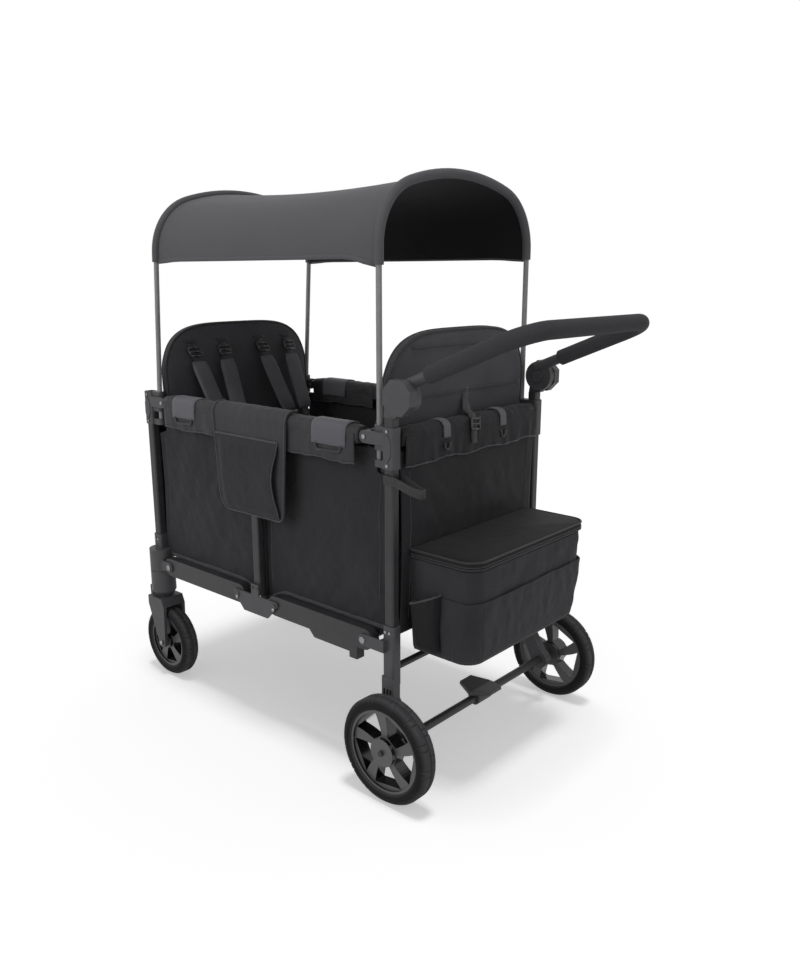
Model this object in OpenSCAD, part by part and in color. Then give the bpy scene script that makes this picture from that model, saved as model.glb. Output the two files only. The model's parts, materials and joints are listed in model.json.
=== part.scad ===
// Folding stroller wagon for two children: four wheels, two facing seats, an arched canopy,
// a push handle and a zipped basket. Millimetres, +Z up, +X towards the push handle.
// The origin is on the ground, midway between the four corner posts.

/* [Corner posts] */
// Distance along the wagon from its middle to each post
post_x = 438; // [420:1:470]
// Distance across the wagon from its middle to each post
post_y = 271; // [262:1:290]
// Post section along the wagon
post_w = 25; // [22:1:30]
// Post section across the wagon
post_t = 23; // [20:1:28]
// Wall of the frame tubes
tube_wall = 2; // [1:0.1:3]
// Bottom of the front posts
front_post_bottom = 336; // [325:1:345]
// Top of the front posts
front_post_top = 812; // [800:1:815]
// Bottom of the rear posts
rear_post_bottom = 236; // [225:1:260]
// Top of the rear posts
rear_post_top = 836; // [828:1:838]

/* [Corner brackets] */
// Sleeve of each bracket along the wagon
sleeve_w = 33; // [30:1:40]
// Sleeve of each bracket across the wagon
sleeve_t = 28; // [27:1:32]
// Bottom of the upper brackets
upper_bracket_bottom = 727; // [715:1:735]
// Height of the upper brackets
upper_bracket_h = 89; // [80:1:92]
// Top of the rear leg sleeves
leg_sleeve_top = 376; // [360:1:390]
// Top of the front leg sleeves
front_sleeve_top = 413; // [395:1:425]

/* [Folding rails] */
// Distance from the middle to the rail pivots at the posts
pivot_x = 372; // [360:1:378]
// Distance from the middle to the rail pins at the centre plates
pin_x = 70; // [60:1:80]
// Radius of the rail pivot pins
pin_r = 5; // [4:0.5:6]
// Height of the bottom rails' centre line
rail_z = 330; // [325:1:335]
// Height of the bottom rail section
rail_h = 50; // [44:1:54]
// Width of the rail section across the wagon
rail_t = 24; // [20:1:26]
// How far the bottom rails lie outside the posts
rail_out = 9; // [7:1:15]
// Height of the top rails' centre line
top_rail_z = 790; // [780:1:795]
// Height of the top rail section
top_rail_h = 24; // [20:1:26]
// Width of the top rail section
top_rail_t = 20; // [16:1:22]
// Thickness of the hinge plates and ears
plate_t = 4; // [3:0.5:5]
// Radius of the end cross tubes
cross_r = 11; // [8:0.5:12]

/* [Tub] */
// Lowest edge of the fabric walls
wall_bottom = 358; // [357:1:370]
// Highest edge of the fabric walls, under the padded rails
wall_top = 764; // [740:1:765]
// Thickness of the fabric walls
wall_t = 3; // [2:0.5:3.5]
// Thickness of the floor boards
floor_t = 12; // [8:1:14]
// How far the floor boards stay inside the posts
floor_in = 21; // [17:1:40]

/* [Padding] */
// Half width of a padded rail roll
pad_half_w = 23; // [20:0.5:25]
// Height of a padded rail roll
pad_h = 44; // [42:1:58]
// Hem of the pads' outer flaps
flap_bottom = 729; // [715:1:740]

/* [Seats] */
// How far the seat backs stay inside the posts
seat_in = 22; // [21:1:30]
// Extra half width of the seat backs above the brackets
seat_flare = 6; // [0:1:10]
// Lowest edge of the seat backs
seat_bottom = 530; // [515:1:545]
// Top edge of the rear seat back
seat_top = 1008; // [980:1:1015]
// How much lower the front seat back ends
front_seat_drop = 14; // [0:1:20]
// Thickness of the seat back cushions
seat_t = 38; // [30:1:40]
// Distance from the middle to the seat backs at the end rails
seat_x = 395.5; // [385:0.5:395.5]
// Lean of the seat backs
seat_lean = 3; // [0:0.5:4]
// Height of the seat pans' hinges
pan_z = 580; // [570:1:590]
// Depth of the seat pans
pan_depth = 215; // [190:1:225]
// Thickness of the seat pans
pan_t = 40; // [34:1:44]

/* [Canopy] */
// Radius of the canopy poles
pole_r = 6.5; // [5:0.5:7]
// Distance from the middle to the canopy arches along the wagon
pole_x = 402; // [400:1:404]
// How far the canopy poles lie inside the posts
pole_in = 3; // [1:1:5]
// Lean of the front arch above its guides
front_lean = 4; // [0:0.5:6]
// Top of the arches' centre line
arch_top = 1336; // [1280:1:1360]
// Radius of the arches' shoulders
shoulder_r = 136; // [110:1:150]
// Radius of the arches' crowns
crown_r = 596; // [560:1:650]
// How far the canopy cloth hangs below the top of the arches
canopy_drop = 184; // [166:1:196]
// Thickness of the canopy cloth
canopy_t = 2.5; // [1.5:0.5:3]
// How far the cloth reaches past each arch
canopy_over = 14; // [8:1:20]

/* [Push handle] */
// Distance from the middle to the handle hubs
hub_x = 462; // [458:1:466]
// Height of the handle hubs
hub_z = 879; // [875:1:890]
// Radius of the handle hubs
hub_r = 37; // [34:1:38]
// How far the handle arms lie inside the posts
handle_in = 20; // [20:1:22]
// Distance from the hubs to the push bar
handle_reach = 322; // [280:1:340]
// Rise of the handle arms at rest
handle_rise = 22.5; // [15:0.5:35]
// Radius of the bare handle tube
bar_r = 10.5; // [9:0.5:11]
// Radius of the foam grip
grip_r = 18.5; // [16:0.5:20]
// Bend radius of the handle corners
handle_bend = 75; // [60:1:90]
// Where the foam starts, measured from the hubs
grip_start = 74; // [65:1:90]
// Radius of the push buttons
button_r = 14; // [10:0.5:16]

/* [Wheels] */
// Radius of the rear wheels
rear_wheel_r = 121; // [110:1:124]
// Width of the rear wheels
rear_wheel_w = 50; // [44:1:54]
// How far the rear wheels lie outside the posts
rear_wheel_out = 66; // [61:1:71]
// Distance from the middle to the rear axle
axle_x = 486; // [478:1:492]
// Radius of the stub axles
stub_r = 6; // [5:0.5:7]
// Radius of the rear axle tube
axle_r = 10; // [9:0.5:11]
// Radius of the front wheels
front_wheel_r = 100; // [90:1:102]
// Width of the front wheels
front_wheel_w = 48; // [34:1:50]
// Distance from the middle to the caster pivots
caster_x = 434; // [432:1:440]
// How far the caster pivots lie outside the posts
caster_out = 4; // [1:1:7]
// Trail of the front wheels behind their pivots
caster_trail = 25; // [18:1:28]
// Radius of the caster stems
stem_r = 8; // [7:0.5:9]
// Radius of the caster housings
housing_r = 34; // [30:1:34]
// Bottom of the caster housings
housing_bottom = 236; // [230:1:240]
// Number of spokes in a rim
spokes = 5; // [4:1:7]

/* [Basket and pocket] */
// Depth of the rear basket along the wagon
basket_depth = 176; // [140:1:185]
// How far the rear basket stays inside the posts
basket_in = 45; // [41:1:71]
// Bottom of the rear basket
basket_bottom = 302; // [295:1:335]
// Top of the rear basket, with its lid
basket_top = 545; // [535:1:560]
// Thickness of the basket's lid
lid_t = 22; // [16:1:24]
// Wall of the basket
basket_wall = 4; // [3:0.5:5]
// Corner radius of the basket
basket_corner = 40; // [30:1:60]
// Width of the side pocket at its top
pocket_w = 262; // [230:1:280]
// Bottom of the side pocket
pocket_bottom = 556; // [540:1:580]
// Thickness of the side pocket
pocket_t = 14; // [10:1:18]

/* [Hidden] */
$fn = 40;
fit_gap = 0.2;
run_gap = 0.05;
soft_gap = 0.3;
over = 1;
corner_r = 5;
cut_long = 1000;

// Colours of the finishes
frame_grey = "#3a3b3e";
plastic_grey = "#48494c";
cloth_black = "#29292c";
canopy_grey = "#55555a";
foam_black = "#222224";
tyre_grey = "#2d2d2f";
rim_black = "#161617";
steel = "#b8babd";

// Places worked out from the sizes above
rail_y = post_y + rail_out;
floor_half_w = post_y - floor_in;
seat_half_w = post_y - seat_in;
pole_y = post_y - pole_in;
handle_y = post_y - handle_in;
rear_wheel_y = post_y + rear_wheel_out;
caster_y = post_y + caster_out;
basket_half_w = post_y - basket_in;
sleeve_in_y = post_y - sleeve_t / 2;
sleeve_out_y = post_y + sleeve_t / 2;
sleeve_in_x = post_x - sleeve_w / 2;
upper_bracket_top = upper_bracket_bottom + upper_bracket_h;
rail_in_y = rail_y - rail_t / 2;
rail_out_y = rail_y + rail_t / 2;
floor_z = rail_z + 2;
front_wall_y = rail_in_y - 3;
rear_wall_y = front_wall_y - wall_t - 1.5;
pad_z = top_rail_z - 22 + pad_h / 2;
pad_end_x = pivot_x - 16;
pad_inner_x = pin_x + 25;
flap_y = post_y + pad_half_w - 2;
crown_z = arch_top - crown_r;
canopy_hem = arch_top - canopy_drop;
shoulder_z = crown_z + sqrt(pow(crown_r - shoulder_r, 2) - pow(pole_y - shoulder_r, 2));
shoulder_turn = atan2(shoulder_z - crown_z, pole_y - shoulder_r);
end_wall_x = post_x + 9;
basket_x = end_wall_x + wall_t + soft_gap;
housing_top = front_post_bottom + 36;
crown_plate_z = housing_bottom - 4;
lid_hinge_x = basket_x + 2;
lean_z = upper_bracket_top + 14;

// Copies of a shape on both sides, and at the front end
module both_sides() {
    children();
    mirror([0, 1, 0]) children();
}

module at_front() {
    mirror([1, 0, 0]) children();
}

// One side of the wagon: +1 is the left, -1 the right
module on_side(side) {
    mirror([0, side > 0 ? 0 : 1, 0]) children();
}

// Rectangle with round corners
module rounded_rect(w, d, r) {
    square([w - 2 * r, d], center = true);
    square([w, d - 2 * r], center = true);
    for (sx = [-1, 1], sy = [-1, 1])
        translate([sx * (w / 2 - r), sy * (d / 2 - r)]) circle(r);
}

// Slab drawn in the XZ plane, from y to y + t
module slab_xz(y, t) {
    translate([0, y + t, 0]) rotate([90, 0, 0]) linear_extrude(t) children();
}

// Round bar along Y
module bar_y(x, y, z, r, length) {
    translate([x, y + length, z]) rotate([90, 0, 0]) cylinder(h = length, r = r);
}

// Triangles between rings of points, with the two ends closed
function ring_faces(rings, n) = concat(
    [for (k = [0 : rings - 2], i = [0 : n - 1])
        [k * n + i, (k + 1) * n + i, (k + 1) * n + (i + 1) % n]],
    [for (k = [0 : rings - 2], i = [0 : n - 1])
        [k * n + i, (k + 1) * n + (i + 1) % n, k * n + (i + 1) % n]],
    [for (i = [1 : n - 2]) [0, i, i + 1]],
    [for (i = [1 : n - 2]) [(rings - 1) * n, (rings - 1) * n + i + 1, (rings - 1) * n + i]]);

module loft(rings) {
    n = len(rings[0]);
    polyhedron(points = [for (ring = rings) each ring], faces = ring_faces(len(rings), n));
}

function sgn_pow(v, p) = sign(v) * pow(abs(v), p);

function smooth(v) = let (t = max(0, min(1, v))) t * t * (3 - 2 * t);

// Crowned cushion that lies in XY: half sizes a and b, thickness t, square-round outline.
// A part of the rim past flare_from widens by flare.
cushion_sides = 40;
cushion_rings = [0.2, 0.55, 0.82, 0.95, 1];
function cushion_outline(a, b, f, z, flare, flare_from) =
    [for (i = [0 : cushion_sides - 1])
        let (q = 360 * i / cushion_sides, u = sgn_pow(cos(q), 0.42), v = sgn_pow(sin(q), 0.42),
             wide = flare * smooth((b * v * f - flare_from) / 60))
        [u * f * (a + wide), v * f * b, z]];
function cushion_half(f, t) = t / 2 * (0.35 + 0.65 * sqrt(1 - pow(f, 5)));
module cushion(a, b, t, flare = 0, flare_from = 0) {
    rings = len(cushion_rings);
    loft(concat(
        [for (k = [0 : rings - 1])
            cushion_outline(a, b, cushion_rings[k], -cushion_half(cushion_rings[k], t),
                            flare, flare_from)],
        [for (k = [rings - 1 : -1 : 0])
            cushion_outline(a, b, cushion_rings[k], cushion_half(cushion_rings[k], t),
                            flare, flare_from)]));
}

// Padded roll along X from x0 to x1, drawn in at its ends and under each strap
roll_sides = 14;
roll_steps = 10;
function roll_scale(u, straps) = 0.84 + 0.16 * smooth(min(u, 1 - u) / 0.13)
    - max([for (s = straps) 0.05 * (1 - smooth(abs(u - s) / 0.1))]);
module roll(x0, x1, half_w, h, straps) {
    loft([for (k = [0 : roll_steps])
        let (u = k / roll_steps, s = roll_scale(u, straps))
        [for (i = [0 : roll_sides - 1])
            let (q = 360 * i / roll_sides)
            [x0 + (x1 - x0) * u, half_w * s * sgn_pow(cos(q), 0.7),
             h / 2 * s * sgn_pow(sin(q), 0.7)]]]);
}

// Corner posts
module post(bottom, top) {
    translate([post_x, post_y, bottom]) linear_extrude(top - bottom) difference() {
        rounded_rect(post_w, post_t, corner_r);
        rounded_rect(post_w - 2 * tube_wall, post_t - 2 * tube_wall, corner_r - tube_wall);
    }
}

module post_hole(bottom, top) {
    translate([post_x, post_y, bottom]) linear_extrude(top - bottom)
        rounded_rect(post_w + 2 * fit_gap, post_t + 2 * fit_gap, corner_r + fit_gap);
}

module front_posts() {
    color(frame_grey) at_front() both_sides() post(front_post_bottom, front_post_top);
}

module rear_posts() {
    color(frame_grey) both_sides() post(rear_post_bottom, rear_post_top);
}

// Ear that carries a rail pivot, in the XZ plane
ear_r = 14;
ear_root = 9;
module ear_outline(z) {
    translate([pivot_x, z]) circle(ear_r);
    translate([pivot_x, z - ear_r]) square([sleeve_in_x + ear_root - pivot_x, 2 * ear_r]);
}

module sleeve(bottom, top) {
    translate([post_x, post_y, bottom]) linear_extrude(top - bottom)
        rounded_rect(sleeve_w, sleeve_t, corner_r + 2);
}

// Upper bracket: sleeve, tabs that guide the canopy pole and two ears for the top rail
tab_h = 16;
tab_r = 11;
panel_inset = 14;
panel_share = 0.36;
tab_z = [upper_bracket_bottom, upper_bracket_bottom + (upper_bracket_h - tab_h) / 2,
    upper_bracket_top - tab_h];
top_ear_y = [top_rail_t / 2 + 0.5, -top_rail_t / 2 - 0.5 - plate_t];
module upper_bracket() {
    difference() {
        union() {
            sleeve(upper_bracket_bottom, upper_bracket_top);
            for (z = tab_z)
                translate([pole_x, pole_y, z]) linear_extrude(tab_h) {
                    circle(tab_r);
                    translate([0, -tab_r]) square([sleeve_in_x + 4 - pole_x, 2 * tab_r]);
                }
            for (y = top_ear_y) slab_xz(post_y + y, plate_t) ear_outline(top_rail_z);
            slab_xz(sleeve_out_y - over, 3) polygon([for (k = [0 : 5])
                [post_x + sleeve_w * panel_share * cos(60 * k + 30),
                 upper_bracket_bottom + upper_bracket_h / 2
                    + (upper_bracket_h / 2 - panel_inset) * sin(60 * k + 30)]]);
        }
        post_hole(upper_bracket_bottom - over, upper_bracket_top + over);
        for (z = tab_z)
            translate([pole_x, pole_y, z - over]) cylinder(h = tab_h + 2 * over, r = pole_r + run_gap);
        bar_y(pivot_x, post_y - sleeve_t, top_rail_z, pin_r + run_gap, 2 * sleeve_t);
    }
}

module front_upper_brackets() {
    color(plastic_grey) at_front() both_sides() upper_bracket();
}

module rear_upper_brackets() {
    color(plastic_grey) both_sides() upper_bracket();
}

// Outer ear for a bottom rail, joined to its sleeve by a web
module bottom_ear() {
    slab_xz(rail_out_y + soft_gap, plate_t) ear_outline(rail_z);
    translate([sleeve_in_x + over, sleeve_out_y - 8, rail_z - ear_r])
        cube([12, rail_out_y + soft_gap + plate_t - sleeve_out_y + 8, 2 * ear_r]);
}

// Front leg: sleeve over the post and a round housing for the caster stem, with a groove round it
stem_depth = 62;
groove_z = rail_z - 22;
groove_h = 4;
groove_depth = 2;
chamfer_h = 12;
module caster_housing() {
    difference() {
        union() {
            sleeve(front_post_bottom, front_sleeve_top);
            translate([caster_x, caster_y, housing_bottom]) {
                cylinder(h = chamfer_h, r1 = housing_r - 8, r2 = housing_r);
                translate([0, 0, chamfer_h])
                    cylinder(h = housing_top - housing_bottom - chamfer_h, r = housing_r);
            }
            bottom_ear();
        }
        translate([caster_x, caster_y, groove_z]) difference() {
            cylinder(h = groove_h, r = housing_r + over);
            cylinder(h = groove_h, r = housing_r - groove_depth);
        }
        post_hole(front_post_bottom, front_sleeve_top + over);
        bar_y(pivot_x, rail_out_y - over, rail_z, pin_r + run_gap, plate_t + 4);
        translate([caster_x, caster_y, housing_bottom - over])
            cylinder(h = stem_depth + over, r = stem_r + run_gap);
    }
}

module front_caster_housings() {
    color(plastic_grey) at_front() both_sides() caster_housing();
}

// Rear leg: sleeve over the post and a ribbed shank that runs back to the axle
leg_t = 24;
leg_y = post_y - leg_t / 2 + 4;
axle_boss_r = 24;
shank_z = 205;
flute_w = 5;
flute_step = 9;
flute_top = rear_post_bottom - 8;
flute_bottom = shank_z - 45;
flute_shift = (axle_x - post_x) * (shank_z - flute_bottom) / (shank_z - rear_wheel_r);
module leg_flute(x) {
    polygon([[x, flute_top], [x + flute_w, flute_top], [x + flute_w, shank_z],
             [x + flute_w + flute_shift, flute_bottom], [x + flute_shift, flute_bottom], [x, shank_z]]);
}

module rear_leg() {
    difference() {
        union() {
            sleeve(rear_post_bottom, leg_sleeve_top);
            slab_xz(leg_y, leg_t) {
                polygon([[sleeve_in_x, rear_post_bottom + 20], [sleeve_in_x, shank_z],
                         [axle_x - axle_boss_r, rear_wheel_r], [axle_x + axle_boss_r, rear_wheel_r],
                         [post_x + sleeve_w / 2, shank_z], [post_x + sleeve_w / 2, rear_post_bottom + 20]]);
                translate([axle_x, rear_wheel_r]) circle(axle_boss_r);
            }
            bottom_ear();
        }
        for (k = [-1 : 1])
            slab_xz(leg_y + leg_t - 4, 5) leg_flute(post_x - flute_w / 2 + flute_step * k);
        post_hole(rear_post_bottom, leg_sleeve_top + over);
        bar_y(pivot_x, rail_out_y - over, rail_z, pin_r + run_gap, plate_t + 4);
        bar_y(axle_x, leg_y - over, rear_wheel_r, stub_r + fit_gap, leg_t + 2 * over);
    }
}

module rear_legs() {
    color(plastic_grey) both_sides() rear_leg();
}

// Tubes that join the two posts of one end
low_cross_r = 8;
module cross_tube(z, r, half) {
    difference() {
        bar_y(post_x, -half, z, r, 2 * half);
        bar_y(post_x, -half - over, z, r - tube_wall, 2 * half + 2 * over);
    }
}

module front_cross_tubes() {
    color(frame_grey) at_front() {
        cross_tube(top_rail_z, cross_r, sleeve_in_y - fit_gap);
        cross_tube(front_sleeve_top - 20, low_cross_r, sleeve_in_y - fit_gap);
    }
}

low_cross_z = 272;
module rear_cross_tubes() {
    color(frame_grey) {
        cross_tube(top_rail_z, cross_r, sleeve_in_y - fit_gap);
        cross_tube(low_cross_z, low_cross_r, sleeve_in_y - fit_gap);
    }
}

// Fabric walls; the front one is cut away at its lower corners, beside the caster housings
end_wall_half = sleeve_in_y - soft_gap;
module end_panel(low_half) {
    low_z = housing_top + 3;
    translate([end_wall_x, 0, 0]) rotate([90, 0, 90]) linear_extrude(wall_t) {
        translate([-end_wall_half, low_z]) square([2 * end_wall_half, wall_top - low_z]);
        translate([-low_half, wall_bottom]) square([2 * low_half, low_z - wall_bottom + over]);
    }
}

module front_end_panel() {
    color(cloth_black) at_front() end_panel(caster_y - housing_r - over);
}

module rear_end_panel() {
    color(cloth_black) end_panel(end_wall_half);
}

// Half of each long wall, fixed to the posts of its end; the halves slide past each other
wall_inner_x = 20;
// Where a wall at y meets the round corner of its post
function wall_end(y) = let (d = max(0, post_y - post_t / 2 + corner_r - y))
    post_x - post_w / 2 + corner_r - sqrt(max(0, pow(corner_r + soft_gap, 2) - d * d));
// Each low corner is cut away from an x outwards, up to a height
wall_clear = 3;
module side_panel(y, low_corners) {
    slab_xz(y - wall_t, wall_t) difference() {
        translate([wall_inner_x, wall_bottom])
            square([wall_end(y) - wall_inner_x, wall_top - wall_bottom]);
        for (c = low_corners) translate([c[0] - wall_clear, wall_bottom - over])
            square([cut_long, c[1] + wall_clear - wall_bottom + over]);
        translate([pole_x - tab_r - wall_clear, upper_bracket_bottom - 4 * wall_clear]) square(cut_long);
    }
}

module front_side_panels() {
    color(cloth_black) at_front() both_sides() side_panel(front_wall_y,
        [[sleeve_in_x, front_sleeve_top], [caster_x - housing_r, housing_top]]);
}

module rear_side_panels() {
    color(cloth_black) both_sides() side_panel(rear_wall_y, [[sleeve_in_x, leg_sleeve_top]]);
}

// Padded covers of the end rails, with their outer flaps
flap_t = 3;
end_straps = [0.32, 0.68];
module end_rail_pad() {
    half = sleeve_in_y - 2;
    difference() {
        union() {
            translate([post_x, 0, pad_z]) rotate([0, 0, 90]) roll(-half, half, pad_half_w, pad_h, end_straps);
            translate([post_x + pad_half_w - 2, -half + 8, flap_bottom])
                cube([flap_t, 2 * half - 16, pad_z - flap_bottom]);
        }
        bar_y(post_x, -half - over, top_rail_z, cross_r + fit_gap, 2 * half + 2 * over);
    }
}

module front_rail_pad() {
    color(cloth_black) at_front() end_rail_pad();
}

module rear_rail_pad() {
    color(cloth_black) end_rail_pad();
}

// Seats: shapes drawn upright about the end rail's height, then leaned back
module lean_back() {
    translate([seat_x, 0, top_rail_z]) rotate([0, seat_lean, 0]) children();
}

module seat_back(top) {
    mid = (top + seat_bottom) / 2;
    lean_back() translate([0, 0, mid - top_rail_z]) rotate([90, 0, 90])
        cushion(seat_half_w, (top - seat_bottom) / 2, seat_t, seat_flare, upper_bracket_top + 12 - mid);
}

// Shoulder pads of the two harnesses of one seat
harness_y = seat_half_w * [-0.69, -0.27, 0.27, 0.69];
harness_w = 42;
harness_t = 9;
harness_gap = 0.1;
harness_top = 925;
harness_bottom = 770;
module harness() {
    lean_back() for (y = harness_y)
        translate([-seat_t / 2 - harness_gap - harness_t / 2, y,
                   (harness_top + harness_bottom) / 2 - top_rail_z])
            rotate([90, 0, 90]) linear_extrude(harness_t, center = true)
                rounded_rect(harness_w, harness_top - harness_bottom, 12);
}

pan_back = 8.7;
pan_hinge_x = seat_x - seat_t / 2 - pan_back;
pan_half_w = seat_half_w - 9;
module seat_pan() {
    translate([pan_hinge_x - pan_depth / 2, 0, pan_z - pan_t / 2])
        cushion(pan_depth / 2, pan_half_w, pan_t);
}

module front_seat_back() {
    color(cloth_black) at_front() seat_back(seat_top - front_seat_drop);
}

module rear_seat_back() {
    color(cloth_black) seat_back(seat_top);
}

module front_harness() {
    color(canopy_grey) at_front() harness();
}

module rear_harness() {
    color(canopy_grey) harness();
}

module front_seat_pan() {
    color(cloth_black) at_front() seat_pan();
}

module rear_seat_pan() {
    color(cloth_black) seat_pan();
}

// Rivets and screws that stay with one end
screw_r = 3.5;
head_t = 2.5;
sleeve_screws = [-sleeve_w * 0.18, sleeve_w * 0.18];
module end_fasteners(low_z) {
    bar_y(pivot_x, post_y + top_ear_y[1] - head_t, top_rail_z, pin_r,
          top_rail_t + 1 + 2 * plate_t + 2 * head_t);
    bar_y(pivot_x, rail_in_y + 4, rail_z, pin_r, rail_t - 4 + soft_gap + plate_t);
    bar_y(pivot_x, rail_out_y + soft_gap + plate_t, rail_z, pin_r + 3, head_t);
    for (z = [upper_bracket_bottom + 8, upper_bracket_top - 8])
        bar_y(post_x, sleeve_out_y, z, screw_r, head_t);
    for (x = sleeve_screws)
        bar_y(post_x + x, sleeve_out_y, low_z - 14, screw_r, head_t);
}

module front_fasteners() {
    color(steel) at_front() both_sides() end_fasteners(front_sleeve_top);
}

module rear_fasteners() {
    color(steel) both_sides() end_fasteners(leg_sleeve_top);
}

// Bottom rails: half of each side, with the tube that carries the floor board
module bottom_rail() {
    difference() {
        slab_xz(rail_in_y, rail_t) {
            for (x = [pin_x, pivot_x]) translate([x, rail_z]) circle(rail_h / 2);
            translate([pin_x, rail_z - rail_h / 2]) square([pivot_x - pin_x, rail_h]);
        }
        translate([pin_x + rail_h / 2 + 6, rail_in_y + tube_wall, rail_z - rail_h / 2 + tube_wall])
            cube([pivot_x - pin_x - rail_h - 12, rail_t - 2 * tube_wall, rail_h - 2 * tube_wall]);
        for (x = [pin_x, pivot_x])
            bar_y(x, rail_in_y - over, rail_z, pin_r + run_gap, rail_t + 2 * over);
    }
}

floor_tube_r = 8;
module floor_tube() {
    bar_y(pivot_x, -rail_in_y, rail_z, floor_tube_r, 2 * rail_in_y);
}

module bottom_rails_front() {
    color(frame_grey) at_front() {
        both_sides() bottom_rail();
        floor_tube();
    }
}

// The rear halves also carry the lock channel below the rail
lock_bar_x = [192, 350];
lock_bar_h = 18;
latch_w = 24;
latch_h = 32;
module lock_channel() {
    z1 = rail_z - rail_h / 2 + over;
    slab_xz(rail_in_y, rail_t) {
        polygon([[lock_bar_x[0], z1], [lock_bar_x[0] + lock_bar_h, z1 - lock_bar_h],
                 [lock_bar_x[1], z1 - lock_bar_h], [lock_bar_x[1], z1]]);
        translate([lock_bar_x[1] - latch_w, z1 - latch_h]) square([latch_w, latch_h]);
    }
}

module bottom_rails_rear() {
    color(frame_grey) {
        both_sides() {
            bottom_rail();
            lock_channel();
        }
        floor_tube();
    }
}

// Floor: a board on each half and a strip between them
floor_edge_x = pin_x - 4;
module floor_board() {
    difference() {
        translate([floor_edge_x + soft_gap, -floor_half_w, floor_z])
            cube([pivot_x + 10 - floor_edge_x, 2 * floor_half_w, floor_t]);
        bar_y(pivot_x, -rail_in_y - over, rail_z, floor_tube_r + fit_gap, 2 * rail_in_y + 2 * over);
    }
}

module floor_board_front() {
    color(cloth_black) at_front() floor_board();
}

module floor_board_rear() {
    color(cloth_black) floor_board();
}

module floor_strip_centre() {
    color(cloth_black) translate([-floor_edge_x, -floor_half_w, floor_z])
        cube([2 * floor_edge_x, 2 * floor_half_w, floor_t]);
}

// Centre frame: hinge plates with their rivets, and the posts between them
plate_reach = 15;
post_c_w = 24;
post_c_t = 18;
low_plate_drop = 38;
low_plate_rise = 12;
low_cut = 40;
small_cut = 12;
module plate_outline(z0, z1, low, high) {
    x = pin_x + plate_reach;
    polygon([[-x, z0 + low], [-x + low, z0], [x - low, z0], [x, z0 + low],
             [x, z1 - high], [x - high, z1], [-x + high, z1], [-x, z1 - high]]);
}

top_plate_y = post_y + top_rail_t / 2 + 0.5;
module hinge_plate_pair() {
    low_y = rail_out_y + soft_gap;
    slab_xz(low_y, plate_t) {
        plate_outline(rail_z - low_plate_drop, rail_z + low_plate_rise, low_cut, small_cut / 2);
        translate([-post_c_w / 2 - 2, rail_z]) square([post_c_w + 4, rail_h / 2 + 16]);
    }
    translate([-post_c_w / 2, rail_y + post_c_t / 2, rail_z + 15])
        cube([post_c_w, low_y - rail_y - post_c_t / 2, rail_h / 2]);
    for (x = [-pin_x, pin_x]) {
        bar_y(x, rail_in_y + 2, rail_z, pin_r, low_y - rail_in_y - 2);
        bar_y(x, low_y + plate_t, rail_z, pin_r + 3, head_t);
    }
    for (x = [-9, 9]) bar_y(x, low_y + plate_t, rail_z + rail_h / 2 + 6, screw_r, head_t);
    slab_xz(top_plate_y, plate_t) plate_outline(top_rail_z - 16, top_rail_z + 14, small_cut, small_cut);
    for (x = [-pin_x, pin_x])
        bar_y(x, post_y - top_rail_t / 2 + 2, top_rail_z, pin_r, top_plate_y - post_y + top_rail_t / 2 - 2);
}

module hinge_plates() {
    color(plastic_grey) both_sides() hinge_plate_pair();
}

module centre_posts() {
    color(frame_grey) both_sides()
        translate([0, rail_y, rail_z + 15]) linear_extrude(top_rail_z - 16 - rail_z - 15) difference() {
            rounded_rect(post_c_w, post_c_t, 4);
            rounded_rect(post_c_w - 2 * tube_wall, post_c_t - 2 * tube_wall, 2);
        }
}

// Top rails and their padded covers
module top_rail() {
    difference() {
        slab_xz(post_y - top_rail_t / 2, top_rail_t) {
            for (x = [pin_x, pivot_x]) translate([x, top_rail_z]) circle(top_rail_h / 2);
            translate([pin_x, top_rail_z - top_rail_h / 2]) square([pivot_x - pin_x, top_rail_h]);
        }
        translate([pin_x + top_rail_h, post_y - top_rail_t / 2 + tube_wall,
                   top_rail_z - top_rail_h / 2 + tube_wall])
            cube([pivot_x - pin_x - 2 * top_rail_h, top_rail_t - 2 * tube_wall, top_rail_h - 2 * tube_wall]);
        for (x = [pin_x, pivot_x])
            bar_y(x, post_y - top_rail_t, top_rail_z, pin_r + run_gap, 2 * top_rail_t);
    }
}

module top_rails_front() {
    color(frame_grey) at_front() both_sides() top_rail();
}

module top_rails_rear() {
    color(frame_grey) both_sides() top_rail();
}

side_straps = [0.25, 0.75];
module top_pad() {
    difference() {
        union() {
            translate([0, post_y, pad_z]) roll(pad_inner_x, pad_end_x, pad_half_w, pad_h, side_straps);
            translate([pad_inner_x + 6, flap_y, flap_bottom])
                cube([pad_end_x - pad_inner_x - 14, flap_t, pad_z - flap_bottom]);
        }
        translate([pad_inner_x - over, post_y - top_rail_t / 2 - fit_gap,
                   top_rail_z - top_rail_h / 2 - fit_gap])
            cube([pad_end_x - pad_inner_x + 2 * over, top_rail_t + 2 * fit_gap, top_rail_h + 2 * fit_gap]);
    }
}

module top_pads_front() {
    color(cloth_black) at_front() both_sides() top_pad();
}

module top_pads_rear() {
    color(cloth_black) both_sides() top_pad();
}

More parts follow.
